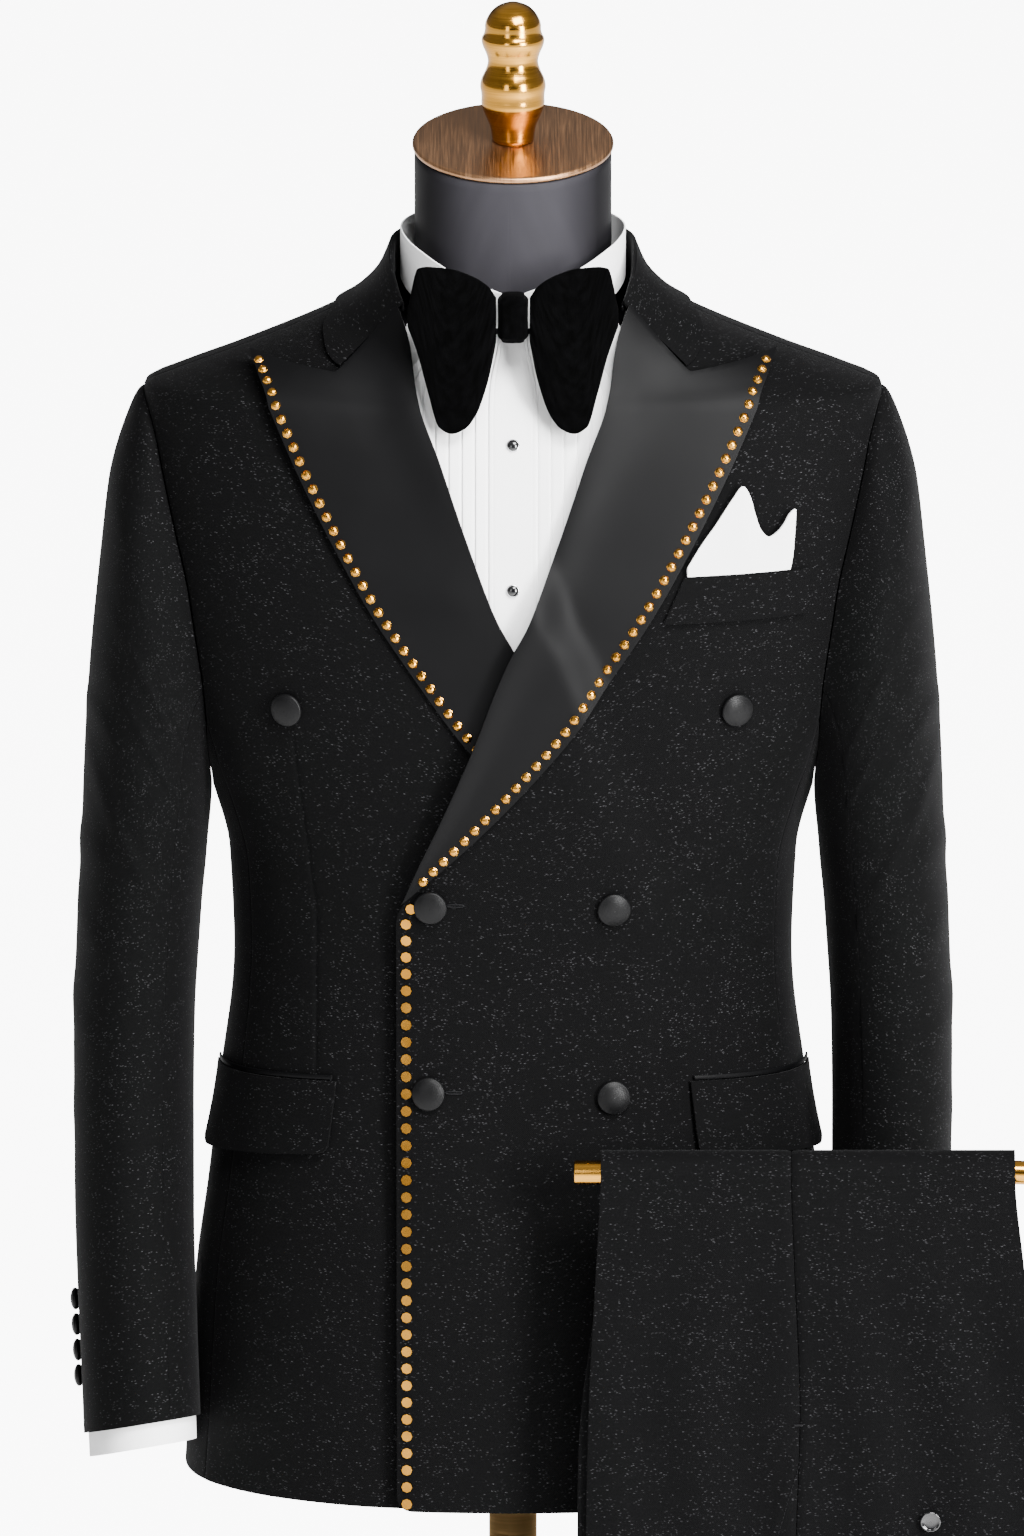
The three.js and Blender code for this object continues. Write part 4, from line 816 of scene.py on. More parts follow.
def studs(name, at, way, size):
    # Faceted domes: rings of eight points, each turned half a facet on the one below, closed by a point
    radius, height = size
    sides = studShape["sides"]
    rings = np.array(studShape["rings"])
    turn = (np.arange(sides)[None] + rings[:, 2:3]) * 2 * math.pi / sides
    local = np.stack([rings[:, :1] * np.cos(turn) * radius, rings[:, :1] * np.sin(turn) * radius,
                      np.broadcast_to(rings[:, 1:2] * height, turn.shape)], -1).reshape(-1, 3)
    local = np.concatenate([local, [[0, 0, height]]])
    side = unit(np.cross(way, [0.0, 0.0, 1.0]))
    other = np.cross(way, side)
    points = (at[:, None] + local[None, :, :1] * side[:, None] - local[None, :, 1:2] * other[:, None]
              + local[None, :, 2:] * way[:, None])
    face = quads(len(rings), sides, True)
    face = np.concatenate([face[:, [0, 1, 2]], face[:, [0, 2, 3]]])
    last = (len(rings) - 1) * sides
    j = np.arange(sides)
    cap = np.stack([last + j, last + (j + 1) % sides, np.full(sides, len(local) - 1)], -1)
    floor = np.arange(sides)[::-1][None]
    shift = (np.arange(len(at)) * len(local))[:, None, None]
    tris = (np.concatenate([face, cap])[None] + shift).reshape(-1, 3)
    floors = (floor[None] + shift).reshape(-1, sides)
    flat = points.reshape(-1, 3)
    return makeMesh(name, flat, facingOut(flat, [tris, floors]), None, smooth=False)


for (side, flip), isUpper, count, start in zip(bothSides, (True, False), (44, 31), (15, 128)):
    u = fineEnds([0, 0.006], 0.018, 0.982, lapel["columns"], [0.994, 1])[None]
    v = fineEnds([], 0, 0.985, lapel["rows"], [0.9925, 1])[:, None]
    rows = lapelPoint(u, v, isUpper)
    under = lapelPoint(u, v, isUpper, -cut["cloth"])
    piece = rounded(between(f"lapel_{side}Piece", flip(rows), flip(under)), 0.8, 3)
    finishPiece(piece, satin, "satin", f"lapel_{side}")
    at, way = alongLine(*seatOn(rows, studShape["lapelInset"][0 if isUpper else 1]), count, start, 12)
    if side == "right":
        at, way = at * [-1, 1, 1], way * [-1, 1, 1]
    finishPiece(studs(f"lapelStuds_{side}", at, way, studShape["lapel"]), gold, "brass")

z = np.linspace(700, 1083, 120)[:, None]
edgeX = edgeAcross(z)
edgeRows = frontPoint(edgeX + np.linspace(0, 16, 9)[None], z, lapLift(edgeX, z))[:, ::-1]
at, way = alongLine(*seatOn(edgeRows, studShape["edgeInset"]), 36, 5, 1.5)
finishPiece(studs("edgeStuds", at, way, studShape["edge"]), gold, "brass")
print("lapels and studs made")


# The jacket's collar: up from its edge on the shoulders to the fold, over it, and down inside as the stand
collar = {
    "turn": [0, 0.2, 0.42, 0.62, 0.8, 1],
    "foldAngle": [44.8, 63.5, 90, 123, 152, 180], "foldZ": [1450.5, 1463, 1477.5, 1479, 1480, 1480],
    "foldOut": [3.4, 3.5, 3.7, 4.2, 4.8, 5], "edgeAngle": [35.9, 60, 92, 122, 150, 180],
    "edgeZ": [1414, 1429, 1439.5, 1440, 1438, 1436], "stand": [4, 10, 19, 19, 20, 20],
    "cloth": 1.5, "foldWidth": 3.8, "columns": 90,
}
foldAngle, foldZ, foldOut, edgeAngle, edgeZ, standHeight = [
    curve(collar, n, "turn") for n in ("foldAngle", "foldZ", "foldOut", "edgeAngle", "edgeZ", "stand")]


def collarPoint(turn, up):
    # up runs 0 to 1 on the leaf, 1 to 2 over the fold (half a circle), 2 to 3 down the stand
    leaf, over, down = np.minimum(1, up), np.clip(up - 1, 0, 1) * math.pi, np.maximum(0, up - 2)
    width = collar["foldWidth"] / 2
    belly = 0.5 * np.sin(math.pi * leaf)
    out = mix(cut["layerGap"] + collar["cloth"], foldOut(turn), leaf**1.5) + belly - width * (1 - np.cos(over))
    z = mix(edgeZ(turn), foldZ(turn), leaf)
    rise = width * np.sin(over) - down * standHeight(turn)
    angle = mix(edgeAngle(turn), foldAngle(turn), leaf)
    return bodyPoint(angle, z, out) + stackXyz(0, 0, rise)


leafSteps = fineEnds([0, 0.02, 0.05], 0.1, 0.95, 14, [])
up = np.concatenate([leafSteps, np.linspace(1, 2, 11), np.linspace(2.1, 3, 7)])[:, None]
half = collarPoint(np.linspace(0, 1, collar["columns"])[None], up)
whole = np.concatenate([half, mirrored(half)[:, 1:]], 1)
piece = rounded(wall("jacketCollar", whole, collar["cloth"]), 0.6, 3)
finishPiece(piece, twill, "twill", "jacket_collar")

# The sleeves: their outer and inner lines seen from the front, half their depth and how far forward they hang
sleeve = {
    "down": [0, 0.06, 0.12, 0.18, 0.25, 0.33, 0.42, 0.5, 0.6, 0.7, 0.8, 0.9, 1],
    "outerX": [230, 239, 246, 252, 257, 262, 266, 269, 272.5, 275, 274.5, 272, 268.5],
    "outerZ": [1389, 1383, 1360, 1330, 1288, 1240, 1186, 1128, 1054, 973, 892, 811, 731],
    "innerX": [188, 187.5, 188, 189, 190.5, 192, 194.5, 196.5, 198.5, 199.5, 199.3, 197.5, 195.5],
    "innerZ": [1137, 1134, 1128, 1118, 1104, 1084, 1060, 1032, 989, 926, 865, 804, 743],
    "halfDepth": [61, 66, 71, 74, 76, 76, 74, 72, 69, 66, 62, 58, 54],
    "forward": [3, 3, 2, 2, 2, 2, 4, 7, 13, 22, 34, 48, 63],
    "lean": [0, 0, 0, 0, 0, 0, 0, 0.01, 0.03, 0.07, 0.12, 0.18, 0.23],
    "roundness": 2.15, "elbow": (150, 118), "foreSeam": -28, "blend": 0.18, "rows": 150, "columns": 62,
    # soft dents across the sleeve: how far down, turn at the middle, slope, depth and width
    "dents": [(0.40, 60, 0.10, 1.1, 0.016), (0.47, 20, -0.08, 1.3, 0.018), (0.53, 75, 0.07, 1.2, 0.017),
              (0.60, 30, -0.05, 0.9, 0.02), (0.30, -10, 0.12, 0.9, 0.016), (0.24, 10, 0.16, 0.8, 0.015),
              (0.74, 50, 0.05, 0.6, 0.02), (0.66, 95, -0.06, 0.9, 0.018)],
}
outerX, outerZ, innerX, innerZ, sleeveDepth, sleeveForward, sleeveLean = [
    curve(sleeve, n, "down") for n in ("outerX", "outerZ", "innerX", "innerZ", "halfDepth", "forward", "lean")]


def sleeveDents(turn, down):
    # Each dent is a ridge with a hollow on both sides, fading round the sleeve as a cosine
    total = 0.7 * waves(turn * 1.2, down * 700, 9) * ease(down / 0.2)
    for place, middle, slope, deep, wide in sleeve["dents"]:
        away = np.radians(turn - middle)
        line = (down - place - slope * away * 0.3) / wide
        shown = np.maximum(0, np.cos(np.clip(away * 1.1, -math.pi / 2, math.pi / 2))) ** 1.5
        total = total + deep * shown * (1 - line**2) * np.exp(-(line**2) / 1.4)
    return total * ease((1 - down) / 0.06)


def sleevePoint(turn, down, soft=0.0):
    # A superellipse across the line from the inner to the outer edge, blended into the armhole at the top
    turn, down = np.broadcast_arrays(np.asarray(turn, float), np.asarray(down, float))
    s, c = np.sin(np.radians(turn)), np.cos(np.radians(turn))
    power = 2 / sleeve["roundness"]
    rs, rc = signedPower(s, power), signedPower(c, power)
    outer = stackXyz(outerX(down), 0, outerZ(down))
    inner = stackXyz(innerX(down), 0, innerZ(down))
    point = (outer + inner) / 2 + (outer - inner) / 2 * rs[..., None]
    point[..., 1] = -sleeveForward(down) - rc * sleeveDepth(down)
    point[..., 2] += sleeveLean(down) * rc * sleeveDepth(down)
    if np.any(soft):
        middle = (outer + inner) / 2
        middle[..., 1] = -sleeveForward(down)
        point = point + unit(point - middle) * (soft * sleeveDents(turn, down))[..., None]
    low, high = armhole["height"][0] + 2.2, cut["shoulderTip"] - 1.2
    z = mix(low, high, (1 + s) / 2)
    angle = armholeAngle(z) + 0.6
    start = bodyPoint(np.where(c >= 0, np.minimum(90, angle), np.maximum(90, 180 - angle)), z)
    return mix(start, point, ease(down / sleeve["blend"])[..., None])


def sleeveFace(turn, down, deep):
    # The surface moved in along its own normal
    around = sleevePoint(turn + 1, down, 1.0) - sleevePoint(turn - 1, down, 1.0)
    rise = sleevePoint(turn, down, 1.0) - sleevePoint(turn, down + 0.004, 1.0)
    return sleevePoint(turn, down, 1.0) - unit(np.cross(around, rise)) * deep


def elbowAt(down):
    # The elbow seam's turn round the sleeve, eased from its top value to its foot value
    return mix(sleeve["elbow"][0], sleeve["elbow"][1], ease(down / 0.9))


downSteps = np.concatenate([[1, 0.9993, 0.998, 0.995], np.linspace(0.99, 0.2, sleeve["rows"] - 30),
                            np.linspace(0.193, 0.012, 28), [0.006, 0]])[:, None]
step = np.linspace(0, 1, sleeve["columns"])[None]
seamAngle = cut["sleeveSeamAngle"]
for side, flip in bothSides:
    for name, start, end in (
        ("top", sleeve["foreSeam"] + seamAngle, elbowAt(downSteps) - seamAngle),
        ("under", elbowAt(downSteps) + seamAngle, 360 + sleeve["foreSeam"] - seamAngle),
    ):
        turn = mix(start, end, step)
        piece = between(f"sleeve{name.capitalize()}_{side}", flip(sleeveFace(turn, downSteps, 0)),
                        flip(sleeveFace(turn, downSteps, cut["sleeveCloth"])))
        finishPiece(rounded(piece, 0.55, 3), twill, "twill", f"sleeve_{name}_{side}")
print("collar and sleeves made")


# Pieces laid on the fronts, as a four-cornered patch of across and height lifted off the cloth
def patchAngles(corners, u, v):
    # A straight blend of the four corners, each as an angle on the body and a height
    lowIn, lowOut, topIn, topOut = [np.array([float(angleAt(x, z)), z]) for x, z in corners]
    both = mix(mix(lowIn, lowOut, u[..., None]), mix(topIn, topOut, u[..., None]), v[..., None])
    return both[..., 0], both[..., 1]


def patch(corners, lift, u, v, isUpper=False):
    # The blended corners lifted off the body, with the soft folds of the cloth below
    u, v = np.broadcast_arrays(u, v)
    angle, z = patchAngles(corners, u, v)
    across = bodyPoint(angle, z)[..., 0]
    return bodyPoint(angle, z, lift + nearFolds(across if isUpper else -across, z))


def roundedCorners(u, v, width, height, radius):
    # Draws the lower corners of a unit patch in along a quarter circle of the given radius
    fromEnd = np.minimum(u, 1 - u) * width
    inside = np.maximum(0, radius - fromEnd)
    rise = (radius - np.sqrt(np.maximum(0, radius**2 - inside**2))) / height
    return mix(rise, 1, v)


pocket = {
    "corners": [(114.5, 921), (187, 906), (109.5, 966.5), (182, 957.5)],
    "jetCorners": [(112, 967), (182, 958.1), (112, 970), (181.5, 961.1)],
    "cloth": 1.6, "jetCloth": 1.2, "hang": 3.5, "cornerRadius": 5, "size": (72, 50),
    "clear": (cut["layerGap"], 0.5),
    "welt": [(93, 1261.8), (181, 1261.4), (106, 1290.2), (184, 1289.2)],
}
u = fineEnds([0, 0.006, 0.02, 0.045], 0.07, 0.93, 34, [0.955, 0.98, 0.994, 1])[None]
v = fineEnds([0, 0.01, 0.03], 0.06, 0.96, 26, [0.985, 1])[:, None]
for (side, flip), clear in zip(bothSides, pocket["clear"]):
    isUpper = side == "left"
    hang = pocket["hang"] * (1 - v) ** 2 * (0.4 + 0.6 * u) + 0.5 * np.sin(5 * u + 1) * (1 - v)
    drawn = roundedCorners(u, v, *pocket["size"], pocket["cornerRadius"])
    rows = patch(pocket["corners"], clear + pocket["cloth"] + 0.6 + hang, u, drawn, isUpper=isUpper)
    piece = rounded(wall(f"pocketFlap_{side}", flip(rows), pocket["cloth"]), 0.6, 3)
    finishPiece(piece, twill, "twill", f"pocket_flap_{side}")
    up = np.linspace(0, 1, 9)
    lift = clear + pocket["jetCloth"] + 0.2 + 0.35 * np.sin(math.pi * up)[:, None]
    rows = patch(pocket["jetCorners"], lift, u, up[:, None], isUpper=isUpper)
    piece = rounded(wall(f"pocketJet_{side}", flip(rows), pocket["jetCloth"]), 0.5, 3)
    finishPiece(piece, satin, "satin", f"pocket_jet_{side}")
rows = patch(pocket["welt"], cut["layerGap"] + cut["cloth"], u, v, isUpper=True)
piece = rounded(wall("breastWelt", rows, cut["cloth"]), 0.6, 3)
finishPiece(piece, twill, "twill", "breast_welt")

# The pocket square: two peaks above the welt, with folds that run down from each
square = {
    "across": [107.5, 113, 119, 126, 131, 137, 142, 147, 152, 156.5, 161, 165, 168.5, 170.5],
    "top": [1297, 1310, 1322, 1337, 1344, 1337, 1327, 1317, 1312.5, 1315, 1320, 1326, 1328, 1303],
    "lean": [0, 3, 6, 9, 10, 9, 7, 5.5, 5, 5, 5, 5, 5, 1.5],
    "base": 1290.8, "cloth": 1.2, "over": 1.6,
}
squareTop, squareLean = curve(square, "top", "across"), curve(square, "lean", "across")
x = np.linspace(square["across"][0], square["across"][-1], 110)[None]
v = np.linspace(0, 1, 60)[:, None]
ripple = 0.9 * np.sin((x - square["across"][0]) / 4.6 + 2.4 * v) * v + 1.1 * np.abs(np.sin((x - 146 + 6 * v) / 9)) * v
height = mix(square["base"], squareTop(x), v)
rows = frontPoint(x + squareLean(x) * v, height, cut["layerGap"] + square["over"] + square["cloth"] + ripple + 1.2 * v)
piece = rounded(wall("pocketSquare", rows, square["cloth"]), 0.5, 3)
finishPiece(piece, poplin, "linen", "pocket_square")
print("pockets made")

# Covered buttons: a dome over a rolled rim, standing a little off the cloth on their thread
buttons = {
    "places": [("top_right", -140, 1204), ("top_left", 138.5, 1204), ("middle_right", -50, 1083.5),
               ("middle_left", 61.2, 1081.5), ("low_right", -51.2, 963), ("low_left", 61, 960.5)],
    "front": (10.6, 5.4), "cuff": (7, 5), "stud": (3.6, 3), "seat": 0.5,
    "profile": [(0, 0), (0.6, 0), (0.82, 0.02), (0.93, 0.12), (1, 0.34), (0.985, 0.52), (0.93, 0.64), (0.87, 0.68),
                (0.8, 0.75), (0.62, 0.88), (0.38, 0.97), (0.18, 1), (0, 1)],
    "cuffFirst": 0.8975, "cuffStep": 0.0195, "cuffBefore": 18,
}


def movePoints(piece, change):
    # Puts what the change makes of the mesh's points, in metres, in their place
    points = np.empty(len(piece.data.vertices) * 3)
    piece.data.vertices.foreach_get("co", points)
    piece.data.vertices.foreach_set("co", change(points.reshape(-1, 3)).ravel())
    piece.data.update()
    return piece


def setOn(piece, seat, way):
    # Turns a piece that stands on Z so that it stands along way, and puts it on its seat, in the mesh itself
    turn = np.array(Vector((0, 0, 1)).rotation_difference(Vector(way)).to_matrix())
    return movePoints(piece, lambda points: points @ turn.T + np.asarray(seat) / 1000)


def buttonAt(name, size, place, sides=48):
    # The profile's corners are rounded once, then it is turned and set on the cloth
    profile = softProfile([(r * size[0], z * size[1]) for r, z in buttons["profile"]], 1)
    seat, above = place(0.0), place(1.0)
    return setOn(lathe(name, profile, sides), seat, unit(above - seat))


for name, x, z in buttons["places"]:
    lift = buttons["seat"] + (0 if x < edgeAcross(z) else float(lapLift(x, z)))
    isUpper = x >= edgeAcross(z)
    lift += float(nearFolds(x if isUpper else -x, z))
    piece = buttonAt(f"frontButton_{name}", buttons["front"], lambda out: frontPoint(x, z, lift + out).reshape(3))
    finishPiece(piece, buttonSatin, "satin", f"button_{name}")
for side, sign in (("left", 1), ("right", -1)):
    for i in range(4):
        down = buttons["cuffFirst"] + i * buttons["cuffStep"]
        turn = float(elbowAt(down)) - buttons["cuffBefore"]

        def cuffPlace(out):
            return sleeveFace(np.array(turn), np.array(down), -0.4 - out).reshape(3) * [sign, 1, 1]

        piece = buttonAt(f"cuffButton_{side}_{i + 1}", buttons["cuff"], cuffPlace, 36)
        finishPiece(piece, buttonSatin, "satin", f"cuff_button_{side}_{i + 1}")

# Buttonholes: two corded lips round a slit, in black thread
buttonholes = {"places": [(-35.2, 1084.5), (-36.2, 964)], "half": 5, "halfHeight": 0.75, "lip": 0.55}
for k, (x, z) in enumerate(buttonholes["places"]):
    t = np.linspace(0, 2 * math.pi, 61)[:-1]
    reach = buttonholes["half"]
    xs = x + reach * signedPower(np.cos(t), 0.6)
    zs = z + buttonholes["halfHeight"] * signedPower(np.sin(t), 0.6)
    loop = frontPoint(xs, zs, lapLift(xs, zs) + nearFolds(xs, zs) + 0.15)
    way = unit(np.roll(loop, -1, 0) - np.roll(loop, 1, 0))
    normal = np.array([0.0, -1.0, 0.0])
    side = unit(np.cross(way, normal))
    turn = np.arange(6) * math.pi / 3
    cord = loop[:, None] + buttonholes["lip"] * (
        side[:, None] * np.cos(turn)[None, :, None] + normal[None, None] * np.sin(turn)[None, :, None])
    points = cord.reshape(-1, 3)
    face = quads(61, 6, True) % (60 * 6)
    piece = makeMesh(f"buttonhole_{k + 1}", points, facingOut(points, [face]), lengthsOf(cord))
    finishPiece(piece, thread, "twill")
print("buttons made")

# The shirt's front: a flat placket with pleats on both sides, each pleat rising to its fold and dropping
shirt = {
    "cloth": 1.0, "out": -3.6, "edge": 112, "placketHalf": 14.8, "placketRise": 0.8, "pleatPitch": 8.2,
    "pleats": 7, "pleatRise": 0.95, "creaseDepth": 0.75, "scaleTop": 0.58, "stitchInset": 2.6,
    "studs": [("top", 1372), ("low", 1284)], "foot": 1085,
}


def shirtRise(x):
    # Height of the placket and pleats over the cloth: flat, then a ramp that ends in a step
    away = np.abs(x)
    placket = shirt["placketRise"] * ease((shirt["placketHalf"] + 0.35 - away) / 0.5)
    groove = 0.18 * np.exp(-(((away - shirt["placketHalf"] + shirt["stitchInset"]) / 0.45) ** 2))
    step = (away - shirt["placketHalf"] - 0.6) / shirt["pleatPitch"]
    share = step - np.floor(step)
    ramp = shirt["pleatRise"] * (0.25 + 0.75 * np.clip(share / 0.9, 0, 1)) * ease((1 - share) / 0.06)
    inPleats = (step > -0.05) & (step < shirt["pleats"])
    fromCrease = np.minimum(share, 1 - share) * shirt["pleatPitch"]
    crease = shirt["creaseDepth"] * np.exp(-((fromCrease / 0.35) ** 2)) * inPleats
    return placket - groove - crease + ramp * ((step > 0) & (step < shirt["pleats"]))


def neckline(x):
    # A flat parabola, level past 62 mm
    return 1436 + 9 * np.minimum(1, (x / 62) ** 2)


pitch, half = shirt["pleatPitch"], shirt["placketHalf"]
# columns close together at the placket's stitching and edge, and in each pleat at its crease and fold
placketSteps = [np.linspace(0, half - 4, 6), np.linspace(half - 3.6, half - 1.6, 7),
                half + np.array([-0.9, -0.2, 0, 0.2, 0.4])]
pleatSteps = np.array([0.02, 0.25, 0.6, 2.4, 4.4, 6.2, 7.3, 7.7, 7.88, 8.02, 8.15])
xs = placketSteps + [half + 0.6 + k * pitch + pleatSteps for k in range(shirt["pleats"])]
xs = np.unique(np.round(np.concatenate(xs + [[80, 90, 100, shirt["edge"]]]), 3))
xs = np.concatenate([-xs[:0:-1], xs])[None]
share = np.linspace(0, 1, 60)[:, None]
topX = xs * shirt["scaleTop"]
z = mix(shirt["foot"] + 0 * xs, neckline(topX), share)
narrowed = xs * np.minimum(1, (halfWidth(z) - 6) / shirt["edge"])
x = mix(narrowed, topX, ease((share - 0.86) / 0.14) ** 2)
soft = 0.35 * waves(x * 2, z * 1.2, 12)
piece = between("shirtFront", frontPoint(x, z, shirt["out"] + shirtRise(xs) + soft),
                frontPoint(x, z, shirt["out"] - shirt["cloth"] + soft))
finishPiece(piece, poplin, "linen", "shirt_front")

# The collar band stands round the neck and opens in a narrow V at the front
band = {
    "turn": [0, 30, 60, 90, 180], "front": [76, 74, 69, 65.4, 63.4], "top": [1460, 1472, 1483, 1489, 1493],
    "low": [1439, 1441, 1450, 1458, 1462], "half": 70.3, "neckBack": 4, "open": 1.2,
}
bandReach, bandTop, bandLow = [curve(band, n, "turn") for n in ("front", "top", "low")]


def bandPoint(turn, v):
    # An oval whose front half reaches further out, drawn in a little at the foot
    away = np.where(turn > 180, 360 - turn, turn)
    reach = bandReach(away) - 2.5 * (1 - v) * ease(1 - away / 60)
    x = band["half"] * np.sin(np.radians(turn))
    y = band["neckBack"] - reach * np.cos(np.radians(turn))
    return stackXyz(x, y, mix(bandLow(away), bandTop(away), v))


u = np.linspace(0, 1, 190)[None]
v = fineEnds([0, 0.02], 0.05, 0.95, 14, [0.98, 1])[:, None]
piece = rounded(wall("shirtCollar", bandPoint(mix(band["open"], 360 - band["open"], u), v), shirt["cloth"]), 0.4, 3)
finishPiece(piece, poplin, "linen", "shirt_collar")

# The ends of the shirt's cuffs, inside the sleeves
cuff = {"inset": 2.9, "shown": 15, "hidden": 45, "columns": 72}


def cuffGrid(deep):
    # The sleeve's end drawn in along its normal, then carried in and out along its length
    turn = np.arange(cuff["columns"])[None] * 360 / cuff["columns"]
    one = np.ones_like(turn)
    end = sleevePoint(turn, one)
    inward = unit(sleeveFace(turn, 0.999 * one, 1.0) - sleevePoint(turn, 0.999 * one))
    way = unit(end - sleevePoint(turn, 0.92 * one))
    along = np.array([cuff["shown"], cuff["shown"] - 0.4, 9, 4, 0, -10, -cuff["hidden"]])[:, None, None]
    return end + inward * (cuff["inset"] + deep) + way * along


for side, flip in bothSides:
    piece = between(f"shirtCuff_{side}", flip(cuffGrid(0)), flip(cuffGrid(shirt["cloth"])), True)
    finishPiece(rounded(piece, 0.4, 3), poplin, "linen", f"shirt_cuff_{side}")

# Shirt studs: a polished black dome in a thin silver rim
for name, z in shirt["studs"]:
    lift = shirt["out"] + shirt["placketRise"] + 0.3

    def studPlace(out):
        return frontPoint(0.0, z, lift + out).reshape(3)

    piece = buttonAt(f"shirtStud_{name}", buttons["stud"], studPlace, 32)
    finishPiece(piece, blackGloss, "black_stud", f"shirt_stud_{name}")
    rim = lathe(f"studRim_{name}", softProfile([(0, 0), (3.9, 0), (4.15, 0.5), (3.7, 1.1), (0, 1.1)], 2), 40)
    setOn(rim, studPlace(-0.1), unit(studPlace(1.0) - studPlace(0.0)))
    finishPiece(rim, silver, "brass")
print("shirt made")

# The bow tie: wings whose top and lower edges come from a table, plump in the middle, creased at the knot
bow = {
    "across": [10.4, 15, 23, 30, 38, 46, 53, 59, 65.5],
    "top": [1463, 1469.5, 1475, 1478, 1480.5, 1481.5, 1482, 1481, 1456],
    "low": [1436.5, 1414, 1391.5, 1383, 1380, 1384, 1406, 1428, 1446],
    "half": [6, 7.5, 7.5, 7, 6.2, 5.4, 4.6, 4, 3], "tilt": 0.17, "front": 87.5,
    "knot": {"half": 9.9, "front": -99.5, "back": -71.3, "low": 1436, "top": 1464.5},
}
bowTop, bowLow, bowHalf = [curve(bow, n, "across") for n in ("top", "low", "half")]


def wingFace(x, v, side):
    # The wing's face: its middle plane leans with height, and the face swells as a sine from edge to edge.
    # Creases fan out from the knot as ridges that fade over 28 mm.
    z = mix(bowLow(x), bowTop(x), v)
    middle = -(bow["front"] + bow["tilt"] * (1463 - z))
    swell = 0.3 + 0.7 * np.sin(math.pi * v) ** 0.7
    fan = (v - 0.5) * 9
    crease = 0.9 * np.cos(fan * 2.1) * np.exp(-(((x - 12) / 15) ** 2)) * np.sin(math.pi * v)
    edge = np.sqrt(np.clip((66.2 - x) / 5, 0, 1))
    return stackXyz(x, middle + side * bowHalf(x) * swell * (0.35 + 0.65 * edge) + side * crease, z)


x = fineEnds([], bow["across"][0], 62, 70, [63, 64, 64.8, 65.3, bow["across"][-1]])[None]
v = fineEnds([0, 0.006, 0.02, 0.05], 0.08, 0.92, 44, [0.95, 0.98, 0.994, 1])[:, None]
for side, flip in bothSides:
    piece = between(f"bowWing_{side}", flip(wingFace(x, v, -1)), flip(wingFace(x, v, 0.6)))
    finishPiece(rounded(piece, 1.0, 4, 35), velvet, "velvet", f"bow_wing_{side}")

knot = bow["knot"]
v = np.linspace(0, 1, 40)[:, None]
turn = np.arange(56)[None] * 2 * math.pi / 56
size = 0.72 + 0.28 * ease(np.minimum(v, 1 - v) / 0.14)
waist = 1 - 0.06 * np.sin(math.pi * v)
cx, cy = signedPower(np.cos(turn), 0.6), signedPower(np.sin(turn), 0.6)
folds = 1 + 0.02 * np.cos(3.2 * cx * math.pi) * (cy < 0)
y = (knot["back"] + knot["front"]) / 2 + (knot["back"] - knot["front"]) / 2 * size * cy * folds
rings = stackXyz(knot["half"] * size * waist * cx, y, mix(knot["low"], knot["top"], v) + 0 * turn)
finishPiece(closedRings("bowKnot", rings), velvet, "velvet", "bow_knot")
print("bow tie made")

# The dress form: torso and neck in one cover, on its pole, with a tilted cap and a turned finial
form = {
    "inset": 8, "neckRadius": 61.4, "tilt": math.radians(10.5), "sides": 96, "capZ": 1540, "capThick": 4,
    "heights": [770, 771.5, 774, 779, 790, 810, 830, 860, 890, 920, 950, 975, 995, 1015, 1035, 1055, 1075, 1100,
                1125, 1150, 1180, 1210, 1240, 1268, 1295, 1318, 1340, 1358, 1372, 1382, 1389, 1395, 1402, 1409, 1416],
    "finial": [(13, 0), (14, 8), (16.2, 13), (20, 22), (19.4, 28), (21, 36), (16, 46), (15.4, 52), (20.5, 63),
               (17.4, 68), (17.6, 75), (12, 83.5), (4, 87), (0, 87.3)],
}
angle = np.arange(form["sides"]) * 360 / form["sides"]


def neckRing(z, tilt=0.0, radius=form["neckRadius"]):
    # A circle round the neck, sheared upwards from its back by the tilt
    y = band["neckBack"] - radius * np.cos(np.radians(angle))
    return stackXyz(radius * np.sin(np.radians(angle)), y, z + math.tan(tilt) * (y - band["neckBack"]))


shoulder = bodyPoint(angle, 1430, -form["inset"])
shoulder[:, 2] = 1423
rings = [bodyPoint(angle, z, -form["inset"]) for z in form["heights"]]
rings += [mix(shoulder, neckRing(1423), 0.3), neckRing(1434), neckRing(1470)]
rings += [neckRing(z, form["tilt"]) for z in (1500, 1520, 1534, 1538.4)] + [neckRing(1539.6, form["tilt"], 60.6)]
finishPiece(closedRings("formTorso", np.array(rings)), formCloth, "form", "form_body")


def tilted(piece, turn, lift):
    # The piece leaned about the X axis, then lifted and set back over the neck
    c, s = math.cos(turn), math.sin(turn)

    def lean(points):
        x, y, z = points.T
        return stackXyz(x, y * c - z * s + band["neckBack"] / 1000, y * s + z * c + lift / 1000)

    return movePoints(piece, lean)


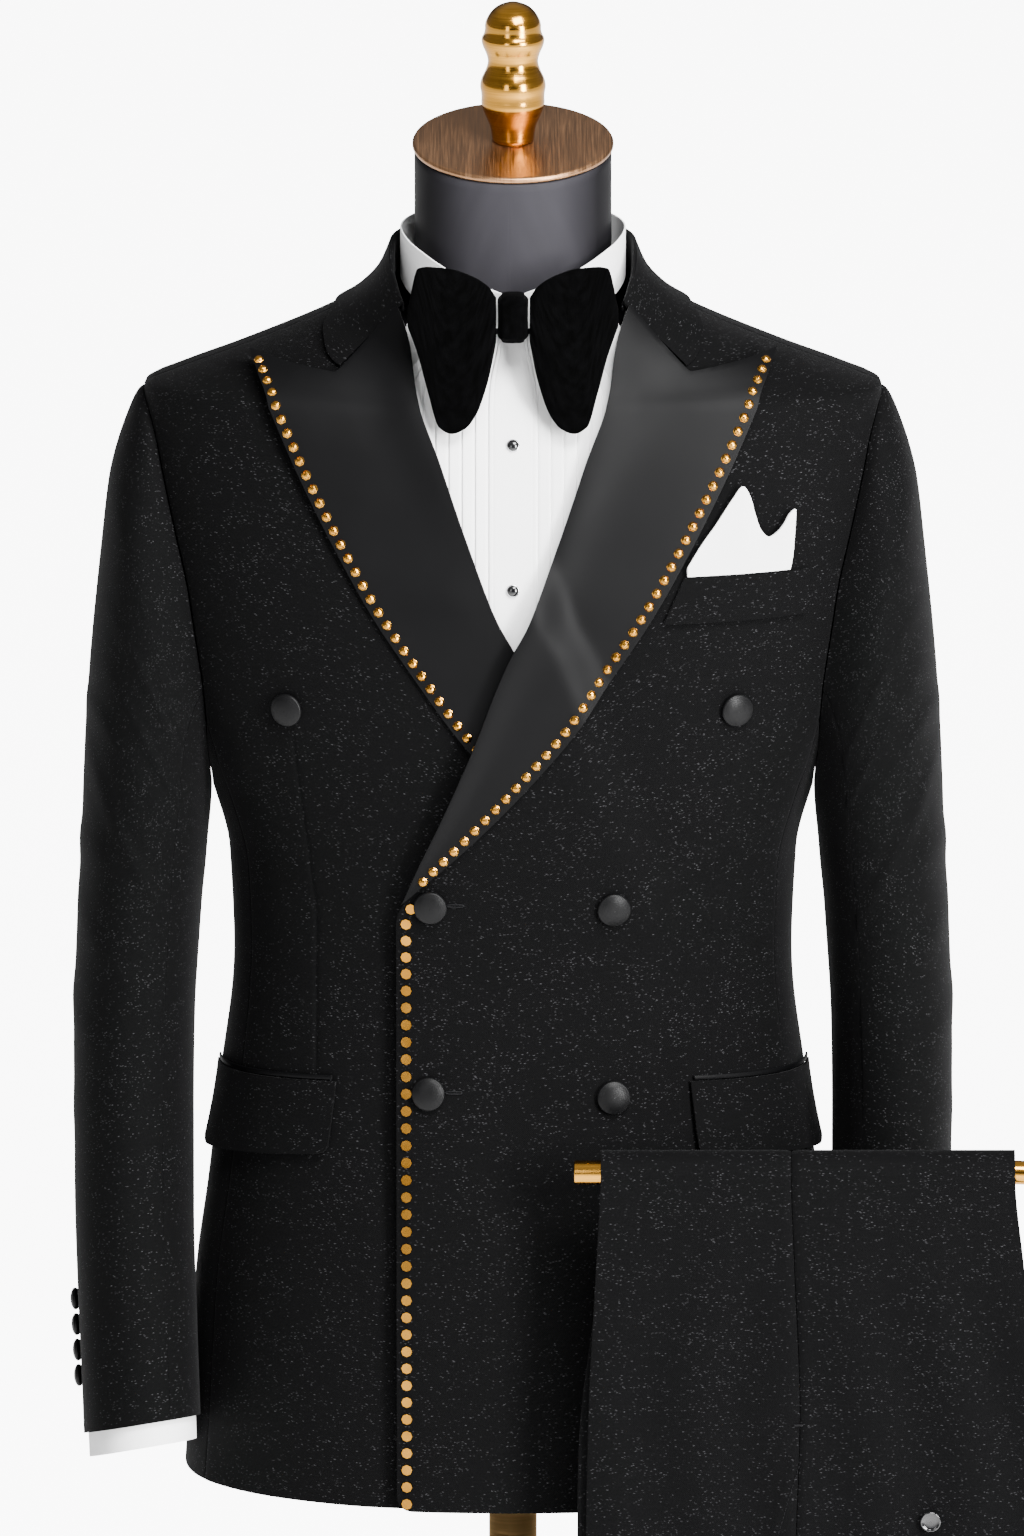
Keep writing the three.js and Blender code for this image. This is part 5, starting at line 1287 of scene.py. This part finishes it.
capProfile = [(0, 0), (61.6, 0), (62.3, 0.35), (62.7, 1.2), (62.7, 2.4), (62.2, 3.3), (61.2, 3.9), (60.2, 4),
              (30, 4), (0, 4)]
finishPiece(tilted(lathe("neckCap", capProfile, 128), form["tilt"], form["capZ"]), bronze, "brass", "form_cap")
foot = form["capThick"] / math.cos(form["tilt"]) + 0.4
profile = softProfile(form["finial"], 2)
turn = np.arange(72)[None] * 2 * math.pi / 72
x, y = profile[:, :1] * np.cos(turn), profile[:, :1] * np.sin(turn)
rise = form["capZ"] + foot + profile[:, 1:] + np.where(profile[:, 1:] < 0.5, math.tan(form["tilt"]) * y, 0)
finishPiece(closedRings("finial", stackXyz(x, band["neckBack"] + y, rise)), brass, "brass", "form_finial")

pole = {"radius": 15, "low": 42.3, "top": 769.7, "base": [
    (0, 0), (168.5, 0), (170, 1), (170.9, 6), (170, 8), (160, 10.2), (150, 12), (95, 14.4), (40, 18), (30, 21.5),
    (25, 27), (22.6, 34), (22, 40.5), (21, 42), (0, 42)]}
profile = [(0, pole["low"]), (pole["radius"], pole["low"]), (pole["radius"], pole["top"]), (0, pole["top"])]
# The pole takes the lighter brass, whose colour holds painted light
finishPiece(lathe("pole", profile, 72), poleBrassPaintedLight, "brass", "form_pole")
finishPiece(rounded(lathe("base", softProfile(pole["base"], 1), 120), 0.4, 2), bronze, "brass", "form_base")

# The trouser rail: a bent tube held to the pole by a ring, whose clamp gives its inner and outer radius, low and top
rail = {"radius": 7.5, "across": 352, "freeEnd": 38, "forward": -185, "low": 205, "height": 928, "bend": 38,
        "clamp": (15.3, 25, 190, 220)}


def bendPoints(start, corner, end, count=14):
    # A quadratic curve between points a bend's length before and after the corner
    start, corner, end = [np.asarray(p, float) for p in (start, corner, end)]
    enter = corner + unit(start - corner) * rail["bend"]
    leave = corner + unit(end - corner) * rail["bend"]
    t = np.linspace(0, 1, count)[:, None]
    return (1 - t) ** 2 * enter + 2 * t * (1 - t) * corner + t**2 * leave


corner = np.array([rail["across"], rail["forward"], rail["low"]])
upper = np.array([rail["across"], rail["forward"], rail["height"]])
start = unit(corner * [1, 1, 0]) * (rail["clamp"][1] + 0.4) + [0, 0, rail["low"]]
end = np.array([rail["freeEnd"], rail["forward"], rail["height"]])
route = np.concatenate([[start], bendPoints(start, corner, upper), bendPoints(corner, upper, end), [end]])
finishPiece(rounded(tube("trouserRail", route, rail["radius"], 40), 0.6, 3), brass, "brass", "trouser_rail")
inner, outer, low, top = rail["clamp"]
t = np.arange(64) * 2 * math.pi / 64
section = np.array([(inner, low), (outer - 1, low), (outer, low + 1), (outer, top - 1), (outer - 1, top), (inner, top)])
rings = np.stack([section[:, :1] * np.cos(t), section[:, :1] * np.sin(t), section[:, 1:] + 0 * t], -1)
points, face = rings.reshape(-1, 3), quads(7, 64, True) % (6 * 64)
piece = finishPiece(makeMesh("railClamp", points, facingOut(points, [face])), brass, "brass", "rail_clamp")
piece.data.set_sharp_from_angle(angle=math.radians(35))
print("form, pole and rail made")

# The trousers, folded in half over the rail: minus is the run in front, down to the waist, plus the run
# behind, down to the hems. Left, seam and right are seen from the front.
trousers = {
    "along": [-364, -324, -236, -150, -60, 0, 70, 250, 480, 684],
    "left": [49, 47.5, 45.5, 47, 51.5, 54.5, 56, 62, 73, 82],
    "seam": [173, 174, 176, 178.5, 175, 173, 173.5, 177, 184, 188],
    "right": [327, 330, 333, 326, 318, 312, 311, 305, 298, 294],
    "foldRadius": 13, "cloth": 1.6, "out": 14.1, "waistDrop": 324, "hemDrop": 684,
    "inner": 8.3, "middle": 10, "outer": 11.9, "wave": 1.5, "rows": 120, "columns": 52,
}
pocketMouth = {"drop": [160, 178, 207, 232, 300], "across": [178.5, 173.5, 164.5, 157.5, 140]}
trouserLeft, trouserSeam, trouserRight = [curve(trousers, n, "along") for n in ("left", "seam", "right")]
foldArc = math.pi * trousers["foldRadius"] / 2


def foldPoint(along, x, radius):
    # A quarter turn of the given radius each way over the rail, then straight down
    turn = np.clip(along / foldArc, -1, 1) * math.pi / 2
    drop = np.maximum(0, np.abs(along) - foldArc)
    return stackXyz(x, rail["forward"] + radius * np.sin(turn), rail["height"] + radius * np.cos(turn) - drop)


def mouthAcross(drop):
    # The slanted mouth of the front pocket: straight lines through the table
    return np.interp(drop, pocketMouth["drop"], pocketMouth["across"])


def flatAlong(along):
    # How far a point hangs below the turn over the rail, minus in front
    return np.where(np.abs(along) < foldArc, 0, along - np.sign(along) * foldArc)


def hanging(along, u, phase):
    # Soft folds down the run: broad sines across, growing with the drop, that wander a little
    drop = np.abs(flatAlong(along))
    grow = ease(drop / 160)
    wander = 0.12 * np.sin(drop / 90 + phase)
    broad = np.sin(math.pi * 2.5 * (u + wander * grow)) ** 2
    fine = 0.35 * np.sin(math.pi * 6 * (u + 0.6 * wander) + phase)
    return grow * (1.6 * trousers["wave"] * broad + fine)


def leg(name, fromX, toX, phase, nodeName, slantMouth=False):
    runs = np.concatenate([
        -foldArc - np.linspace(trousers["waistDrop"] - cut["seam"], 2, 80),
        np.linspace(-foldArc, foldArc, 33), foldArc + np.linspace(3, trousers["hemDrop"], trousers["rows"])])[:, None]
    u = fineEnds([0, 0.004, 0.012], 0.03, 0.97, trousers["columns"], [0.988, 0.996, 1])[None]
    flat = flatAlong(runs)
    x = mix(fromX(flat), toX(flat), u)
    drop = np.abs(flat)
    rise = hanging(runs, u, phase) * np.where(runs < 0, 1, 0.7)
    seamPinch = -1.1 * np.exp(-(((x - trouserSeam(flat)) / 1.8) ** 2))
    if slantMouth:
        # the pocket's slanted mouth stands a little proud of the cloth under it
        past = x - mouthAcross(-flat)
        rise = rise + 0.7 * ease(past) * np.exp(-np.maximum(0, past) / 12) * ease((-flat - 158) / 6)
    lift = trousers["out"] + rise + seamPinch
    outer, inner = foldPoint(runs, x, lift), foldPoint(runs, x, lift - trousers["cloth"])
    piece = rounded(between(name, outer, inner), 0.6, 3)
    return finishPiece(piece, trouserTwill, "twill", nodeName)


halfSeam = cut["seam"] / 2
leg("trouserFront", trouserLeft, lambda s: trouserSeam(s) - halfSeam, 0.4, "trouser_front", True)
leg("trouserBack", lambda s: trouserSeam(s) + halfSeam, trouserRight, 2.1, "trouser_back")

runs = np.concatenate([-foldArc - np.array([364, 363, 356, 345, 330, 318, 300]), -foldArc - np.linspace(290, 2, 60),
                       np.linspace(-foldArc, foldArc, 33), foldArc + np.linspace(3, trousers["hemDrop"], 90)])[:, None]
flat = flatAlong(runs)
left, right = trouserLeft(flat) + 1.5, trouserRight(flat) - 1.5
fly = 7 * ease((-flat - 60) / 120)
inner, middle, outer = trousers["inner"], trousers["middle"], trousers["outer"]
# Round the section: the outer face, two rounded layers at the right edge, the inner face, two at the left
t = np.linspace(-math.pi / 2, math.pi / 2, 9)[None]
upperMid, upperHalf = (outer + middle + 0.4) / 2, (outer - middle - 0.4) / 2
lowerMid, lowerHalf = (middle + inner) / 2, (middle - inner) / 2
share, wide, level = np.linspace(0.03, 0.97, 24)[None], right - left, 0 * flat
across = [left + wide * share, right - 1.6 + 1.6 * np.cos(t), right - 3 + 0 * t[:, :1], right - 1.9 + 1.9 * np.cos(t),
          left - fly + (wide + fly) * share[:, ::-1], left - fly + 1.9 - 1.9 * np.cos(t), left + 3 + 0 * t[:, :1],
          left + 1.6 - 1.6 * np.cos(t)]
depth = [outer + 0 * across[0], upperMid - upperHalf * np.sin(t) + level, middle + 0.2 + level,
         lowerMid - lowerHalf * np.sin(t) + level, inner + 0 * across[4], lowerMid + lowerHalf * np.sin(t) + level,
         middle + 0.2 + level, upperMid + upperHalf * np.sin(t) + level]
x, radius = np.concatenate(across, 1), np.concatenate(depth, 1)
finishPiece(closedRings("trouserLayers", foldPoint(runs, x, radius)), trouserTwill, "twill", "trouser_layers")

u = fineEnds([0, 0.005], 0.015, 0.985, 60, [0.995, 1])[None]
runs = -foldArc - np.array([363.9, 363.2, 360, 354, 346, 338, 330, 326, 324.6, 324.3])[:, None]
flat = flatAlong(runs)
x = mix(trouserLeft(flat), trouserRight(flat), u)
rise = 0.5 * hanging(runs, u, 0.4)
lift = trousers["out"] + 0.6 + rise
piece = between("trouserWaistband", foldPoint(runs, x, lift), foldPoint(runs, x, lift - 2.2))
finishPiece(rounded(piece, 0.7, 3), trouserTwill, "twill", "trouser_waistband")

backPocket = {"across": 260, "drop": 240, "half": 62, "deep": 10, "buttonDrop": 219.5}
u = fineEnds([0, 0.006], 0.02, 0.98, 46, [0.994, 1])[None]
v = fineEnds([0, 0.04], 0.1, 0.9, 11, [0.96, 1])[:, None]
drop = backPocket["drop"] + backPocket["deep"] * (1 - v)
x = backPocket["across"] + (2 * u - 1) * backPocket["half"]
lift = trousers["out"] + trousers["wave"] + 1.6 + 0.4 * np.sin(math.pi * v) + 0 * u
piece = between("backPocketWelt", foldPoint(-drop - foldArc, x, lift), foldPoint(-drop - foldArc, x, lift - 1.2))
finishPiece(rounded(piece, 0.4, 3), trouserTwill, "twill", "trouser_back_pocket")


def pocketPlace(out):
    # The button's seat on the waist run
    lift = trousers["out"] + trousers["wave"] + 0.3 + out
    return foldPoint(np.array(-backPocket["buttonDrop"] - foldArc), np.array(backPocket["across"]), lift).reshape(3)


# The pocket's button: a rolled rim round a dished middle
corners = [(0, 0), (5.4, 0), (6.3, 0.4), (6.6, 1.3), (6.5, 2.4), (5.9, 3), (5.1, 2.7), (4.4, 2.2), (0, 2.1)]
profile = softProfile(corners, 2)
piece = setOn(lathe("pocketButton", profile, 48), pocketPlace(0.0), np.array([0.0, -1.0, 0.0]))
finishPiece(piece, blackGloss, "black_stud", "trouser_pocket_button")
print("trousers made")


# Stitches: short threads laid along a line of points, each a flat six-sided bead
def stitches(name, points, normals, length, gap, radius, material):
    far = np.concatenate([[0], np.cumsum(np.linalg.norm(np.diff(points, axis=0), axis=1))])
    start = np.arange(gap, far[-1] - length - gap, length + gap)

    def at(d, values):
        return np.stack([np.interp(d, far, values[:, k]) for k in range(3)], -1)

    a, b, n = at(start, points), at(start + length, points), unit(at(start + length / 2, normals))
    way = unit(b - a)
    side = np.cross(way, n)
    turn = np.arange(6) * math.pi / 3
    ring = side[:, None] * np.cos(turn)[None, :, None] + 0.6 * n[:, None] * np.sin(turn)[None, :, None]
    places = [(a, 0.35), (mix(a, b, 0.2), 1.0), (mix(a, b, 0.8), 1.0), (b, 0.35)]
    rings = np.stack([p[:, None] + ring * radius * r for p, r in places], 1)
    count = len(start)
    face = quads(4, 6, True)
    caps = np.array([np.arange(6)[::-1], 18 + np.arange(6)])
    shift = (np.arange(count) * 24)[:, None, None]
    faces = [(face[None] + shift).reshape(-1, 4), (caps[None] + shift).reshape(-1, 6)]
    points = rings.reshape(-1, 3)
    return finishPiece(makeMesh(name, points, facingOut(points, faces)), material, "twill")


drop = np.linspace(180, 300, 40)
x = mouthAcross(drop) + 6.5
u = (x - trouserLeft(-drop)) / (trouserSeam(-drop) - trouserLeft(-drop))
lift = trousers["out"] + hanging(-drop - foldArc, u, 0.4) + 0.7 * np.exp(-0.5) + 0.05
line = foldPoint(-drop - foldArc, x, lift)
stitches("pocketStitches", line, np.tile([0.0, -1.0, 0.0], (len(line), 1)), 2.2, 0.9, 0.28, thread)
bar = foldPoint(np.full(9, -158.0 - foldArc), np.linspace(174.5, 180.5, 9), trousers["out"] + 2.1)
finishPiece(tube("barTack", bar, 0.75, 8), thread, "twill")
print("stitches made")

# The studio: a pale floor that looks brighter to the camera, a room lighter at the sides and above than in
# front, and soft lights
studio = {
    "floor": 120, "floorColor": (0.93, 0.93, 0.93), "floorGlow": 8.5, "seen": 9.5,
    "floorSheen": 1.3, "roomDark": 0.04, "roomSide": 0.3, "roomAbove": 0.5,
    # name, place, size, power, colour
    "lights": [
        ("overhead", (1.2, -2.2, 4.3), (2.2, 1.4), 480, (1, 1, 1)),
        ("leftFront", (-1.5, -3.6, 2.2), (0.8, 1.8), 34, (1, 1, 1)),
        ("rightFront", (2.3, -3.0, 2.0), (0.8, 2.0), 430, (1, 1, 1)),
    ],
    "aim": (0, 0, 1.1),
}
bpy.ops.mesh.primitive_circle_add(vertices=96, radius=studio["floor"], fill_type="NGON", location=(0, 0, -0.0005))
floor = bpy.context.object
floor.name = "floor"
floorMaterial = bpy.data.materials.new("paleFloor")
floorMaterial.use_nodes = True
tree = floorMaterial.node_tree
shader = tree.nodes["Principled BSDF"]
shader.inputs["Base Color"].default_value = (*studio["floorColor"], 1)
shader.inputs["Roughness"].default_value = 0.9
shader.inputs["Specular IOR Level"].default_value = 0.1
shader.inputs["Emission Color"].default_value = (1, 1, 1, 1)
path = tree.nodes.new("ShaderNodeLightPath")
glow = mathNode(tree, "MULTIPLY", path.outputs["Is Camera Ray"], studio["floorGlow"])
mirrorGlow = mathNode(tree, "MULTIPLY", path.outputs["Is Glossy Ray"], studio["floorSheen"])
tree.links.new(mathNode(tree, "ADD", glow, mirrorGlow), shader.inputs["Emission Strength"])
floor.data.materials.append(floorMaterial)
for name, place, size, power, color in studio["lights"]:
    data = bpy.data.lights.new(name, "AREA")
    data.shape, data.size, data.size_y, data.energy, data.color = "RECTANGLE", size[0], size[1], power, color
    light = bpy.data.objects.new(name, data)
    light.location = place
    light.rotation_euler = (Vector(studio["aim"]) - Vector(place)).to_track_quat("-Z", "Y").to_euler()
    bpy.context.scene.collection.objects.link(light)
world = bpy.data.worlds.new("brightRoom")
world.use_nodes = True
tree = world.node_tree
split = tree.nodes.new("ShaderNodeSeparateXYZ")
tree.links.new(tree.nodes.new("ShaderNodeTexCoord").outputs["Generated"], split.inputs[0])
sideways = mapRange(tree, mathNode(tree, "ABSOLUTE", split.outputs[0]), 0.35, 0.8, 0, studio["roomSide"])
above = mapRange(tree, split.outputs[2], 0.2, 0.8, 0, studio["roomAbove"])
room = mathNode(tree, "ADD", mathNode(tree, "MAXIMUM", sideways, above), studio["roomDark"])
seen = tree.nodes.new("ShaderNodeLightPath").outputs["Is Camera Ray"]
strength = mathNode(tree, "ADD", room, mathNode(tree, "MULTIPLY", seen, studio["seen"]))
background = tree.nodes["Background"]
background.inputs["Color"].default_value = (1, 1, 1, 1)
tree.links.new(strength, background.inputs["Strength"])
bpy.context.scene.world = world

camera = {"target": (-0.0006, 0, 1.1433), "far": 24.0, "height": 0.96, "tilt": math.radians(13)}
lens = bpy.data.cameras.new("camera")
lens.sensor_fit, lens.sensor_width, lens.sensor_height = "AUTO", 36, 36
lens.lens = 36 * camera["far"] / camera["height"]
lens.dof.use_dof = False
lens.clip_end = 400
eye = bpy.data.objects.new("camera", lens)
target = Vector(camera["target"])
eye.location = target + Vector((0, -math.cos(camera["tilt"]), math.sin(camera["tilt"]))) * camera["far"]
eye.rotation_euler = (target - eye.location).to_track_quat("-Z", "Y").to_euler()
bpy.context.scene.collection.objects.link(eye)
bpy.context.scene.camera = eye

print("stage and camera made")
